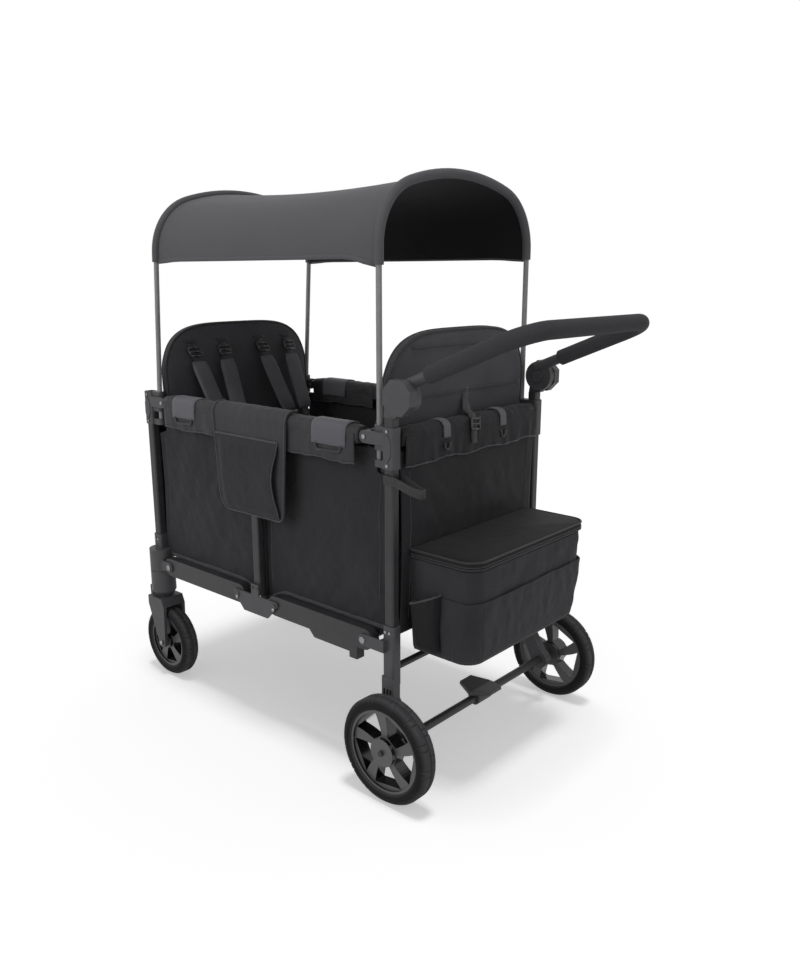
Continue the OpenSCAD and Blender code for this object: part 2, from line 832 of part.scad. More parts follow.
// Cover over the top hinge of each side: a channel open below and at its ends
cover_y = flap_y + flap_t + 1;
cover_t = 3;
module centre_cover() {
    x = pad_inner_x - 1;
    inner_y = post_y - pad_half_w;
    top = pad_z + pad_h / 2;
    translate([-x, inner_y, top - cover_t]) cube([2 * x, cover_y + cover_t - inner_y, cover_t]);
    translate([-x, cover_y, flap_bottom]) cube([2 * x, cover_t, top - cover_t - flap_bottom]);
    translate([-x, inner_y, top_rail_z - 20]) cube([2 * x, cover_t, top - cover_t - top_rail_z + 20]);
    translate([-post_c_w / 2, top_plate_y + plate_t, top_rail_z - 12])
        cube([post_c_w, cover_y - top_plate_y - plate_t, 20]);
}

module centre_pads() {
    color(cloth_black) both_sides() centre_cover();
}

// Organiser pocket on the right side: a flat pouch with round lower corners
pocket_mid_x = 12;
pocket_top = pad_z + pad_h / 2 - 2;
module side_pocket() {
    y = cover_y + cover_t;
    r = 34;
    color(cloth_black) mirror([0, 1, 0]) difference() {
        slab_xz(y, pocket_t) union() {
            translate([pocket_mid_x - pocket_w / 2, pocket_bottom + r])
                square([pocket_w, pocket_top - pocket_bottom - r]);
            translate([pocket_mid_x - pocket_w / 2 + r, pocket_bottom]) square([pocket_w - 2 * r, r + over]);
            for (s = [-1, 1]) translate([pocket_mid_x + s * (pocket_w / 2 - r), pocket_bottom + r]) circle(r);
        }
        translate([pocket_mid_x - pocket_w / 2 + 10, y + 3, pocket_bottom + 14])
            cube([pocket_w - 20, pocket_t - 6, pocket_top - pocket_bottom]);
        translate([pocket_mid_x - pocket_w / 2 - over, y + 3, pocket_top - 62])
            cube([pocket_w + 2 * over, pocket_t, 62 + over]);
    }
}

// Rear axle with its stub ends
stub_end_y = rear_wheel_y + rear_wheel_w / 2 + 4;
module rear_axle() {
    half = leg_y - soft_gap;
    color(frame_grey) {
        bar_y(axle_x, -half, rear_wheel_r, axle_r, 2 * half);
        bar_y(axle_x, -stub_end_y, rear_wheel_r, stub_r, 2 * stub_end_y);
    }
}

// Brake pedal that rocks on the axle tube: a collar and two wings, each tilted up to its tip
pedal_reach = 50;
pedal_half = 42;
pedal_tip = 22;
pedal_flat = 8;
pedal_t = 8;
pedal_tilt = 9;
collar_half = 26;
collar_t = 7;
module pedal_wing() {
    rotate([0, -pedal_tilt, 0]) translate([0, 0, axle_r + collar_t / 2]) linear_extrude(pedal_t)
        polygon([[-over, -pedal_half], [pedal_flat, -pedal_half], [pedal_reach, -pedal_tip],
                 [pedal_reach, pedal_tip], [pedal_flat, pedal_half], [-over, pedal_half]]);
}

module brake_pedal() {
    color(plastic_grey) translate([axle_x, 0, rear_wheel_r]) difference() {
        union() {
            bar_y(0, -collar_half, 0, axle_r + collar_t, 2 * collar_half);
            pedal_wing();
            at_front() pedal_wing();
        }
        bar_y(0, -collar_half - over, 0, axle_r + run_gap, 2 * collar_half + 2 * over);
    }
}

// Wheels, drawn about their own axle along Y at the origin
tyre_h = 26;
module tyre(r, w) {
    rotate([90, 0, 0]) rotate_extrude($fn = 72) difference() {
        union() {
            translate([r - tyre_h, -w / 2 + 5]) square([tyre_h - 4, w - 10]);
            translate([r - tyre_h + 4, -w / 2]) square([tyre_h - 16, w]);
            translate([r - 12, -w / 2 + 10]) circle(10);
            translate([r - 12, w / 2 - 10]) circle(10);
            translate([r - 12, -w / 2 + 10]) square([12, w - 20]);
        }
        for (s = [-1, 0, 1]) translate([r - 3, s * w / 5 - 1.5]) square([6, 3]);
    }
}

// One side of the window between two spokes, which widen from the hub and sweep round a little
window_steps = 8;
spoke_sweep = 8;
spoke_root = 8;
spoke_tip = 15;
function window_side(r0, r1, way) = [for (k = [0 : window_steps])
    let (u = (way > 0 ? window_steps - k : k) / window_steps, r = r0 + (r1 - r0) * u,
         half = asin((spoke_root + (spoke_tip - spoke_root) * u) / r),
         q = spoke_sweep * u + way * (180 / spokes - half))
    r * [cos(q), sin(q)]];

module rim(r, w, bore, hub) {
    seat_r = r - tyre_h - soft_gap;
    r0 = hub + 4;
    r1 = seat_r - 7;
    first_window = 90 + 180 / spokes;
    rotate([90, 0, 0]) difference() {
        union() {
            rotate_extrude() difference() {
                translate([seat_r - 6, -w / 2 + 6]) square([6, w - 12]);
                translate([seat_r - 3, -4]) square([4, 8]);
            }
            translate([0, 0, -w / 2 + 8]) linear_extrude(w - 20) difference() {
                circle(seat_r - 4);
                for (k = [0 : spokes - 1]) rotate(first_window + 360 / spokes * k)
                    polygon(concat(window_side(r0, r1, -1), window_side(r0, r1, 1)));
            }
            translate([0, 0, -w / 2 + 2]) cylinder(h = w - 4, r = hub);
        }
        translate([0, 0, -w]) cylinder(h = 2 * w, r = bore);
    }
}

rear_hub_r = 32;
front_hub_r = 20;
module at_rear_wheel(side) {
    on_side(side) translate([axle_x, rear_wheel_y, rear_wheel_r]) mirror([0, 1, 0]) children();
}

module at_front_wheel(side) {
    on_side(side) translate([-caster_x + caster_trail, caster_y, front_wheel_r])
        mirror([0, 1, 0]) children();
}

module rear_tyre_left() {
    color(tyre_grey) at_rear_wheel(1) tyre(rear_wheel_r, rear_wheel_w);
}

module rear_tyre_right() {
    color(tyre_grey) at_rear_wheel(-1) tyre(rear_wheel_r, rear_wheel_w);
}

module rear_rim_left() {
    color(rim_black) at_rear_wheel(1) rim(rear_wheel_r, rear_wheel_w, stub_r + run_gap, rear_hub_r);
}

module rear_rim_right() {
    color(rim_black) at_rear_wheel(-1) rim(rear_wheel_r, rear_wheel_w, stub_r + run_gap, rear_hub_r);
}

module front_tyre_left() {
    color(tyre_grey) at_front_wheel(1) tyre(front_wheel_r, front_wheel_w);
}

module front_tyre_right() {
    color(tyre_grey) at_front_wheel(-1) tyre(front_wheel_r, front_wheel_w);
}

front_bolt_r = 5;
module front_rim_left() {
    color(rim_black) at_front_wheel(1)
        rim(front_wheel_r, front_wheel_w, front_bolt_r + run_gap, front_hub_r);
}

module front_rim_right() {
    color(rim_black) at_front_wheel(-1)
        rim(front_wheel_r, front_wheel_w, front_bolt_r + run_gap, front_hub_r);
}

// Caster fork: stem, washer, arched crown, two legs, wheel bolt and lugs for the lock lever
fork_gap = 2.5;
fork_t = 9;
fork_boss_r = 15;
crown_h = 24;
crown_ahead = 30;
crown_behind = 34;
crown_flare = 10;
washer_r = 20;
washer_t = 3.5;
arch_gap = 6;
lug_y = 13;
lug_x = -40;
lug_z = crown_plate_z - crown_h;
lug_r = 8;
lug_t = 5;
lever_pin_r = 3;
module crown_outline() {
    polygon([[-crown_ahead, crown_plate_z - crown_h], [-crown_ahead, crown_plate_z],
             [crown_behind, crown_plate_z], [crown_behind + crown_flare, crown_plate_z - crown_h]]);
}

module fork_leg() {
    slab_xz(front_wheel_w / 2 + fork_gap, fork_t) {
        crown_outline();
        polygon([[-crown_ahead, crown_plate_z - crown_h],
                 [crown_behind + crown_flare, crown_plate_z - crown_h],
                 [caster_trail + fork_boss_r, front_wheel_r], [caster_trail - fork_boss_r, front_wheel_r]]);
        translate([caster_trail, front_wheel_r]) circle(fork_boss_r);
    }
}

module caster_fork() {
    half = front_wheel_w / 2 + fork_gap + fork_t;
    translate([-caster_x, caster_y, 0]) {
        translate([0, 0, crown_plate_z - over]) cylinder(h = stem_depth - 2, r = stem_r);
        translate([0, 0, crown_plate_z]) cylinder(h = washer_t, r = washer_r);
        both_sides() fork_leg();
        slab_xz(-half, 2 * half) difference() {
            crown_outline();
            translate([caster_trail, front_wheel_r]) circle(front_wheel_r + arch_gap);
        }
        bar_y(caster_trail, -half - 4, front_wheel_r, front_bolt_r, 2 * half + 8);
        both_sides() slab_xz(lug_y, lug_t) difference() {
            union() {
                translate([lug_x, lug_z]) circle(lug_r);
                translate([lug_x, lug_z - lug_r]) square([2.5 * lug_r, 2 * lug_r]);
            }
            translate([lug_x, lug_z]) circle(lever_pin_r + run_gap);
        }
    }
}

module caster_fork_left() {
    color(plastic_grey) caster_fork();
}

module caster_fork_right() {
    color(plastic_grey) mirror([0, 1, 0]) caster_fork();
}

// Lever that locks the swivel, on a pin between the fork's lugs
lever_top = 254;
module swivel_lock() {
    translate([-caster_x, caster_y, 0]) {
        bar_y(lug_x, -lug_y - 4.5, lug_z, lever_pin_r, 2 * lug_y + 9);
        slab_xz(-lug_y + soft_gap, 2 * (lug_y - soft_gap)) {
            translate([lug_x, lug_z]) circle(7);
            polygon([[lug_x - 7, lug_z], [lug_x + 4, lug_z + 5], [lug_x - 2, lug_z + 26],
                     [lug_x - 3, lever_top - 4], [lug_x - 7, lever_top], [lug_x - 12, lever_top - 4],
                     [lug_x - 11, lug_z + 20]]);
        }
    }
}

module swivel_lock_left() {
    color(plastic_grey) swivel_lock();
}

module swivel_lock_right() {
    color(plastic_grey) mirror([0, 1, 0]) swivel_lock();
}

// Fixed halves of the handle hubs, plugged into the rear posts
hub_split_y = post_y - 7;
hub_out_y = post_y + 14;
hub_in_y = post_y - 25;
hub_pin_r = 8;
module handle_hub() {
    plug_w = post_w - 2 * tube_wall - 2 * fit_gap;
    plug_t = post_t - 2 * tube_wall - 2 * fit_gap;
    translate([hub_x, hub_out_y, hub_z]) rotate([90, 0, 0]) rotate(22.5)
        cylinder(h = hub_out_y - hub_split_y, r = hub_r / cos(22.5), $fn = 8);
    translate([post_x, post_y, rear_post_top - 40]) linear_extrude(40)
        rounded_rect(plug_w, plug_t, corner_r - tube_wall);
    slab_xz(hub_split_y, post_y + post_t / 2 - hub_split_y) polygon([
        [post_x - post_w / 2, rear_post_top], [post_x + post_w / 2 + 6, rear_post_top],
        [hub_x + 26, hub_z - 10], [hub_x - 30, hub_z]]);
    bar_y(hub_x, hub_in_y + 11, hub_z, hub_pin_r, hub_split_y - hub_in_y - 11);
}

module handle_hubs() {
    color(plastic_grey) both_sides() handle_hub();
}

// Moving side of the handle, drawn along +X from the hub and raised to its rest angle
module raise_handle() {
    translate([hub_x, 0, hub_z]) rotate([0, -handle_rise, 0]) children();
}

// Bent tube of the handle: an arm on each side, two bends and the push bar. The arms leave the
// hubs at their tops, so the tube lies above the pivots.
socket_r = 12.5;
arm_rise = hub_r - socket_r - 2.5;
module handle_tube(r, start) {
    straight = handle_reach - handle_bend;
    translate([0, 0, arm_rise]) {
        both_sides() {
            translate([start, handle_y, 0]) rotate([0, 90, 0]) cylinder(h = straight - start, r = r);
            translate([straight, handle_y - handle_bend, 0]) rotate_extrude(angle = 90)
                translate([handle_bend, 0]) circle(r);
        }
        bar_y(handle_reach, -handle_y + handle_bend, 0, r, 2 * (handle_y - handle_bend));
    }
}

bar_start = 20;
// A push button stands out of a round well in each hub's inner face
button_out = 6;
button_t = 8;
button_well = 8;
module handle_sockets() {
    well_y = handle_y - socket_r - over;
    t = hub_split_y - soft_gap - hub_in_y;
    color(plastic_grey) raise_handle() both_sides() difference() {
        union() {
            bar_y(0, hub_in_y, 0, hub_r - 1, t);
            translate([0, handle_y, arm_rise]) rotate([0, 90, 0])
                cylinder(h = grip_start - soft_gap, r = socket_r);
        }
        translate([bar_start, handle_y, arm_rise]) rotate([0, 90, 0])
            cylinder(h = grip_start, r = bar_r + fit_gap);
        bar_y(0, hub_in_y + 10, 0, hub_pin_r + run_gap, hub_split_y - hub_in_y);
        bar_y(0, well_y, 0, button_r + run_gap, hub_in_y + button_well - well_y);
    }
}

module handle_bar() {
    color(frame_grey) raise_handle() difference() {
        handle_tube(bar_r, bar_start + 1);
        handle_tube(bar_r - tube_wall, bar_start + 6);
    }
}

module handle_grip() {
    color(foam_black) raise_handle() difference() {
        handle_tube(grip_r, grip_start);
        handle_tube(bar_r + fit_gap, grip_start - 2);
    }
}

module handle_button() {
    raise_handle() bar_y(0, hub_in_y - button_out, 0, button_r, button_t);
}

module handle_button_left() {
    color(plastic_grey) handle_button();
}

module handle_button_right() {
    color(plastic_grey) mirror([0, 1, 0]) handle_button();
}

// Basket: a walled box with round rear corners, a band pocket and a bottle pouch
module basket_outline(grow) {
    x1 = basket_x + basket_depth + grow;
    half = basket_half_w + grow;
    translate([basket_x, -half]) square([basket_depth + grow - basket_corner, 2 * half]);
    translate([basket_x, -half + basket_corner]) square([x1 - basket_x, 2 * (half - basket_corner)]);
    for (s = [-1, 1]) translate([x1 - basket_corner, s * (half - basket_corner)]) circle(basket_corner);
}

band_bottom = 336;
band_top = 448;
band_t = 6;
// Bottle pouch: its near edge, length, depth, bottom and height
pouch = [post_x + sleeve_w / 2 + 1.5, 86, 34, basket_bottom + 16, 124];
pouch_wall = 3;
module basket_shell() {
    inner_top = basket_top - lid_t - soft_gap;
    color(cloth_black) difference() {
        union() {
            translate([0, 0, basket_bottom]) linear_extrude(inner_top - basket_bottom) basket_outline(0);
            translate([0, 0, band_bottom]) linear_extrude(band_top - band_bottom) intersection() {
                basket_outline(band_t);
                translate([basket_x + 60, -cut_long]) square([cut_long, 2 * cut_long]);
            }
            translate([pouch[0], -basket_half_w - pouch[2], pouch[3]])
                cube([pouch[1], pouch[2] + over, pouch[4]]);
        }
        translate([basket_wall, 0, basket_bottom + basket_wall]) linear_extrude(cut_long) intersection() {
            basket_outline(-basket_wall);
            translate([basket_x, -cut_long]) square([basket_depth - 2 * basket_wall, 2 * cut_long]);
        }
        translate([pouch[0] + pouch_wall, -basket_half_w - pouch[2] + pouch_wall, pouch[3] + pouch_wall])
            cube([pouch[1] - 2 * pouch_wall, pouch[2] - 2 * pouch_wall, cut_long]);
    }
}

module basket_lid() {
    color(cloth_black) translate([0, 0, basket_top - lid_t]) linear_extrude(lid_t) intersection() {
        basket_outline(1);
        translate([lid_hinge_x, -cut_long]) square([cut_long, 2 * cut_long]);
    }
}

// Canopy arches and the cloth over them. A bend's centre line is given in Y and Z.
function bend_points(cy, cz, r, from, to, steps) = [for (k = [0 : steps])
    let (q = from + (to - from) * k / steps) [cy + r * cos(q), cz + r * sin(q), q + 90]];
bow = concat(
    [[pole_y, upper_bracket_bottom + 1, 90], [pole_y, lean_z, 90]],
    bend_points(pole_y - shoulder_r, shoulder_z, shoulder_r, 0, shoulder_turn, 10),
    bend_points(0, crown_z, crown_r, shoulder_turn + 3, 177 - shoulder_turn, 12),
    bend_points(-pole_y + shoulder_r, shoulder_z, shoulder_r, 180 - shoulder_turn, 180, 10),
    [[-pole_y, lean_z, 270], [-pole_y, upper_bracket_bottom + 1, 270]]);
pole_sides = 14;
module arch(lean) {
    loft([for (p = bow) [for (i = [0 : pole_sides - 1])
        let (q = 360 * i / pole_sides)
        [pole_r * cos(q) + tan(lean) * max(0, p[1] - lean_z),
         p[0] + pole_r * sin(q) * sin(p[2]), p[1] - pole_r * sin(q) * cos(p[2])]]]);
}

module canopy_arch_front() {
    color(frame_grey) translate([-pole_x, 0, 0]) arch(front_lean);
}

module canopy_arch_rear() {
    color(frame_grey) translate([pole_x, 0, 0]) arch(0);
}

arch_fn = 240;
// Area under an arch that lies a distance grow outside the poles' centre line
module under_arch(grow) {
    half = pole_y + grow;
    r = shoulder_r + grow;
    reach = half - r + r * cos(shoulder_turn);
    translate([-half, canopy_hem - over]) square([2 * half, shoulder_z - canopy_hem + over]);
    for (s = [-1, 1]) translate([s * (half - r), shoulder_z]) circle(r, $fn = 96);
    intersection() {
        translate([0, crown_z]) circle(crown_r + grow, $fn = arch_fn);
        translate([-reach, shoulder_z - over]) square([2 * reach, crown_r]);
    }
}

module canopy_cloth() {
    reach = pole_x + canopy_over;
    top = arch_top + 2 * pole_r;
    slope = tan(front_lean);
    color(canopy_grey) difference() {
        translate([-reach, 0, 0]) rotate([90, 0, 90]) linear_extrude(2 * reach) difference() {
            under_arch(pole_r + soft_gap + canopy_t);
            under_arch(pole_r + soft_gap);
            translate([-pole_y * 2, 0]) square([pole_y * 4, canopy_hem]);
        }
        slab_xz(-cut_long / 2, cut_long) polygon([[-reach - over, lean_z],
            [-reach, lean_z], [-reach + slope * (top - lean_z), top], [-reach - over, top]]);
    }
}

front_posts();
front_upper_brackets();
front_caster_housings();
front_cross_tubes();
front_end_panel();
front_rail_pad();
front_side_panels();
front_seat_back();
front_harness();
front_fasteners();
front_seat_pan();
caster_fork_left();
caster_fork_right();
swivel_lock_left();
swivel_lock_right();
front_tyre_left();
front_tyre_right();
front_rim_left();
front_rim_right();
bottom_rails_front();
floor_board_front();
hinge_plates();
centre_posts();
floor_strip_centre();
side_pocket();
centre_pads();
bottom_rails_rear();
floor_board_rear();
rear_posts();
rear_upper_brackets();
rear_legs();
rear_cross_tubes();
rear_end_panel();
rear_rail_pad();
rear_side_panels();
rear_seat_back();
rear_harness();
rear_fasteners();
rear_axle();
handle_hubs();
basket_shell();
rear_seat_pan();
top_rails_front();
top_pads_front();
top_rails_rear();
top_pads_rear();
handle_sockets();
handle_bar();
handle_grip();
handle_button_left();
handle_button_right();
rear_tyre_left();
rear_tyre_right();
rear_rim_left();
rear_rim_right();
brake_pedal();
basket_lid();
canopy_arch_front();
canopy_cloth();
canopy_arch_rear();
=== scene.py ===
"""Looks of a folding two-seat stroller wagon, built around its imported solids.

Metres, +Z up, +X towards the push handle. Soft goods, webbing, tread and trim are made here.
"""
import json
from math import atan2, copysign, cos, pi, radians, sin, sqrt, tan, tau

import bmesh
import bpy
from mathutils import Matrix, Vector, noise


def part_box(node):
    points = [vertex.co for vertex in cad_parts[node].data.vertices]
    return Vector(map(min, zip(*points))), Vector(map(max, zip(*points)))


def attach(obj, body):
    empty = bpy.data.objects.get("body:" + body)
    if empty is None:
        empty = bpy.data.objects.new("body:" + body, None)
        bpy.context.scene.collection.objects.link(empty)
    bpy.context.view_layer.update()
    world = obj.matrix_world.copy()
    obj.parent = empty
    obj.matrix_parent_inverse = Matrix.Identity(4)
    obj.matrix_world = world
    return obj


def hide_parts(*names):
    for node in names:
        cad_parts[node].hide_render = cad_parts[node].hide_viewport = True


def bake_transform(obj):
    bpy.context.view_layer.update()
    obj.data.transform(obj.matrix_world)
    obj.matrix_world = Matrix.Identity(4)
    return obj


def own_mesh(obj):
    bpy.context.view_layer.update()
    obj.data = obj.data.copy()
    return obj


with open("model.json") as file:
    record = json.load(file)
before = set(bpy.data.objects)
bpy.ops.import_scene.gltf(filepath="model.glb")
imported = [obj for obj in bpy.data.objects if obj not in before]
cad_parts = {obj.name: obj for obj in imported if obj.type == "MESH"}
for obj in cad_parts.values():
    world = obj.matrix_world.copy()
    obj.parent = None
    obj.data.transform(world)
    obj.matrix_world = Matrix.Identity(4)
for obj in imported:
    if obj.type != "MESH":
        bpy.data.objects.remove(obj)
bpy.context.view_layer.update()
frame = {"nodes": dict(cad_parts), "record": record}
nodes = frame["nodes"]

# Places of the frame
POST_X = 0.438
POST_Y = 0.271
RAIL_Z = 0.790
BRACKET_LOW = 0.712
HOUSING_TOP = 0.374
ENDS = (("rear", 1), ("front", -1))
HANDS = (("left", 1), ("right", -1))

# Cloth and seams that several pieces share
CLOTH_T = 0.0016
COVER_T = 0.0022
SEAM_R = 0.0010
SEAM_LIFT = 0.0008
HEM_TAPE = (0.010, 0.0030)

# Directions that a strap's width can have
UP = Vector((0, 0, 1))
ACROSS = Vector((0, 1, 0))


# Numbers and curves
def steps(low, high, count):
    """count + 1 even values from low to high."""
    return [low + (high - low) * k / count for k in range(count + 1)]


def circle(count):
    """Even turns round a full circle."""
    return [tau * i / count for i in range(count)]


def clamp(value):
    return min(1.0, max(0.0, value))


def share_of(value, low, high):
    """How far a value lies from low to high, as a share."""
    return (value - low) / (high - low)


def between(low, high, share):
    return low + (high - low) * share


def smooth(value):
    """An eased step from 0 to 1."""
    t = clamp(value)
    return t * t * (3 - 2 * t)


def hump(value, centre, width):
    """1 at the centre, falling to 0 a width away."""
    return 1 - smooth(abs(value - centre) / width)


def inside(share, margin):
    """1 inside the range from 0 to 1, easing to 0 over a margin at both ends."""
    return smooth(min(share, 1 - share) / margin)


def swell(value):
    """0 at both ends of the range from 0 to 1, and 1 halfway."""
    return sin(pi * clamp(value))


def sgn_pow(value, power):
    return copysign(abs(value) ** power, value)


def square_round(turn, power=0.42):
    """A point of a circle drawn out towards a square, more so with a smaller power."""
    return sgn_pow(cos(turn), power), sgn_pow(sin(turn), power)


def ripple(x, y, z):
    """Smooth noise at a place, from -1 to 1."""
    return noise.noise(Vector((x, y, z)))


def crumple(point, size, stretch=(1, 1, 1)):
    """Uneven folds of about a size, from about -1 to 1."""
    p = Vector((point[0] * stretch[0], point[1] * stretch[1], point[2] * stretch[2])) / size
    return noise.fractal(p, 0.9, 2.0, 3) * 0.8


# Node trees
class Nodes:
    """A node tree that is put together by short calls."""

    def __init__(self, tree):
        self.tree = tree

    def set(self, node, inputs):
        """Sets a node's inputs, by name or number, to values or links them to sockets."""
        for key, value in inputs.items():
            if isinstance(value, bpy.types.NodeSocket):
                self.tree.links.new(value, node.inputs[key])
            else:
                node.inputs[key].default_value = value

    def add(self, kind, inputs=None, **settings):
        node = self.tree.nodes.new("ShaderNode" + kind)
        for key, value in settings.items():
            setattr(node, key, value)
        self.set(node, inputs or {})
        return node

    def calculate(self, operation, *values):
        return self.add("Math", dict(enumerate(values)), operation=operation).outputs[0]

    def remap(self, value, low, high, start=0.0, end=1.0):
        """A value between start and end mapped to a range from low to high."""
        inputs = {"Value": value, "From Min": start, "From Max": end, "To Min": low, "To Max": high}
        return self.add("MapRange", inputs).outputs["Result"]

    def seen_directly(self):
        """1 for rays from the camera, mirrors and glass, 0 for the light that falls on things."""
        path = self.add("LightPath").outputs
        first = self.calculate("MAXIMUM", path["Is Camera Ray"], path["Is Glossy Ray"])
        return self.calculate("MAXIMUM", first, path["Is Transmission Ray"])


class Look(Nodes):
    """A material in the making; sockets such as Base_Color set or link its shader's inputs."""

    def __init__(self, name, **sockets):
        self.material = bpy.data.materials.new(name)
        self.material.use_nodes = True
        super().__init__(self.material.node_tree)
        self.shader = self.tree.nodes["Principled BSDF"]
        self.coords = self.add("TexCoord").outputs["Object"]
        self.finish(**sockets)

    def finish(self, **sockets):
        self.set(self.shader, {key.replace("_", " "): value for key, value in sockets.items()})
        return self.material

    def noise(self, scale, detail):
        inputs = {"Vector": self.coords, "Scale": scale, "Detail": detail}
        return self.add("TexNoise", inputs).outputs["Fac"]

    def tones(self, factor, colour, dark, light, start=0.3, end=0.7):
        """A colour that goes from a darker to a lighter shade with a factor."""
        node = self.add("ValToRGB", {"Fac": factor})
        first, last = node.color_ramp.elements
        first.position, last.position = start, end
        first.color, last.color = (*shade(colour, dark), 1), (*shade(colour, light), 1)
        return node.outputs["Color"]

    def mix(self, factor, low, high, how="MIX"):
        """Two colours put together by a factor."""
        inputs = {0: factor, 6: low, 7: high}
        return self.add("Mix", inputs, data_type="RGBA", blend_type=how).outputs[2]

    def bump(self, height, strength, distance, normal=None):
        inputs = {"Height": height, "Strength": strength, "Distance": distance}
        if normal is not None:
            inputs["Normal"] = normal
        return self.add("Bump", inputs).outputs["Normal"]

    def eased(self, edge):
        """Normals as on a piece whose edges are rounded to a radius."""
        return self.add("Bevel", {"Radius": edge}, samples=4).outputs["Normal"]

    def weave(self, pitch):
        """Height of two crossing sets of threads, a pitch apart."""
        flipped = self.add("Mapping", {"Vector": self.coords, "Scale": (1, 1, -1)}).outputs["Vector"]
        threads = []
        for vector in (self.coords, flipped):
            inputs = {"Vector": vector, "Scale": tau / (10 * pitch)}
            threads.append(self.add("TexWave", inputs, bands_direction="DIAGONAL").outputs["Fac"])
        return self.calculate("MULTIPLY", *threads)


# Materials
def shade(colour, factor):
    return tuple(c * factor for c in colour)


def fabric(name, colour, pitch=0.0016, sheen=0.06, crease=0.65, mottle=0.22, gloss=0.14):
    """Woven cloth: threads with painted shade in the hollows between them, soft creases and uneven colour.
    """
    look = Look(name, Sheen_Weight=sheen, Sheen_Roughness=0.45, Specular_IOR_Level=gloss)
    threads = look.weave(pitch)
    patches = look.noise(7.0, 5.0)
    blotch = look.tones(patches, colour, 1 - mottle, 1 + mottle)
    # painted shade: the colour darkens where the weave is low, in the hollows between threads
    thread_hollow_shade = look.tones(threads, WHITE, 0.72, 1.15, 0.0, 0.8)
    creases = look.bump(look.noise(22.0, 4.0), crease, 0.006)
    return look.finish(Base_Color=look.mix(1.0, blotch, thread_hollow_shade, "MULTIPLY"),
                       Roughness=look.remap(patches, 0.58, 0.80),
                       Normal=look.bump(threads, 0.45, 0.0004, creases))


def wheel_painted_light(name, face_tone, round_tone, face_rough, round_rough, gloss):
    """A turned piece whose faces along the axle and whose round surfaces differ in gloss, and in tone as
    painted light: one set of faces is painted lighter for the light that falls on it.
    """
    look = Look(name, Specular_IOR_Level=gloss)
    own = look.add("TexCoord").outputs["Normal"]
    along = look.add("SeparateXYZ", {0: own}).outputs["Y"]
    on_face = look.remap(look.calculate("ABSOLUTE", along), 0.0, 1.0, 0.5, 0.9)
    patches = look.noise(30.0, 6.0)
    face, round_part = [look.tones(patches, tone, 0.88, 1.12) for tone in (face_tone, round_tone)]
    grain = look.calculate("MULTIPLY", look.noise(900.0, 2.0), on_face)
    # painted light: the tone switches with the direction of the surface, the lighter faces standing in for
    # how the light falls
    return look.finish(Base_Color=look.mix(on_face, round_part, face),
                       Roughness=look.remap(on_face, round_rough, face_rough),
                       Normal=look.bump(grain, 0.25, 0.0004, look.eased(0.0016)))


def webbing(name, colour):
    """Narrow ribbed tape, painted darker in the hollows between its ribs as shade."""
    look = Look(name, Sheen_Weight=0.15, Sheen_Roughness=0.4, Specular_IOR_Level=0.3)
    ribs = look.weave(0.0024)
    # painted shade: the tone follows the ribs' height, darker in their hollows
    return look.finish(Base_Color=look.tones(ribs, colour, 0.7, 1.2, 0.0, 0.7),
                       Roughness=look.remap(ribs, 0.55, 0.8),
                       Normal=look.bump(ribs, 0.7, 0.0008))


def hard(name, colour, roughness, grain, grain_size, edge, **sockets):
    """Moulded plastic or coated metal with eased edges that are a little worn."""
    look = Look(name, **sockets)
    eased = look.eased(edge)
    plain = look.add("NewGeometry").outputs["Normal"]
    same = look.add("VectorMath", {0: eased, 1: plain}, operation="DOT_PRODUCT").outputs["Value"]
    patches = look.noise(30.0, 6.0)
    on_edge = look.remap(same, 0.0, 1.0, 0.99, 0.80)
    worn = look.calculate("MULTIPLY", on_edge, look.remap(patches, 0.1, 0.8))
    body = look.tones(patches, colour, 0.88, 1.12)
    return look.finish(Base_Color=look.mix(worn, body, (*shade(colour, 1.9), 1)),
                       Roughness=look.remap(patches, roughness - 0.08, roughness + 0.08),
                       Normal=look.bump(look.noise(1 / grain_size, 2.0), grain, 0.0004, eased))


def foam(name, colour):
    """Closed-cell foam: fine pits with painted shade in them, and no shine."""
    look = Look(name, Roughness=0.92, Specular_IOR_Level=0.25)
    cells = look.add("TexVoronoi", {"Vector": look.coords, "Scale": 700.0}).outputs["Distance"]
    # painted shade: darker at the middle of each pit
    return look.finish(Base_Color=look.tones(cells, colour, 0.75, 1.2, 0.1, 0.7),
                       Normal=look.bump(cells, 0.35, 0.0006))


WHITE = (1, 1, 1)
TUB_BLACK = (0.0205, 0.0202, 0.0228)
# The seat cloth is painted almost three times lighter than the tub cloth: painted light for the seats deep
# in the canopy's shade; the shoulder pads and floor cover start from this tone too.
SEAT_TONE_PAINTED_LIGHT = (0.0580, 0.0574, 0.0640)
CANOPY_GREY = (0.0920, 0.0912, 0.0990)
LINING = (0.0070, 0.0070, 0.0074)
TAPE_GREY = (0.0880, 0.0880, 0.1000)
TAPE_BLACK = (0.0200, 0.0200, 0.0220)
TUBE_GREY = (0.0260, 0.0256, 0.0276)
POLE_GREY = (0.1500, 0.1500, 0.1550)
PLASTIC = (0.0450, 0.0446, 0.0480)
# The rim's faces along the axle are grey over near-black round surfaces: partly the rim's own grey, partly a
# painted highlight.
RIM_FACE_PART_HIGHLIGHT = (0.0520, 0.0514, 0.0545)
RIM_ROUND = (0.0065, 0.0065, 0.0070)
# The tyre's tread is painted about six times lighter than its sidewalls: painted light on the lit tread.
TYRE_SIDE = (0.0070, 0.0069, 0.0075)
TYRE_TREAD_PAINTED_LIGHT = (0.0450, 0.0445, 0.0470)
STEEL_GREY = (0.24, 0.24, 0.25)
GRIP_BLACK = (0.0300, 0.0297, 0.0325)

tub_fabric = fabric("tub_fabric", TUB_BLACK)
flap_fabric = fabric("flap_fabric", shade(TUB_BLACK, 1.1), crease=0.6, gloss=0.30)
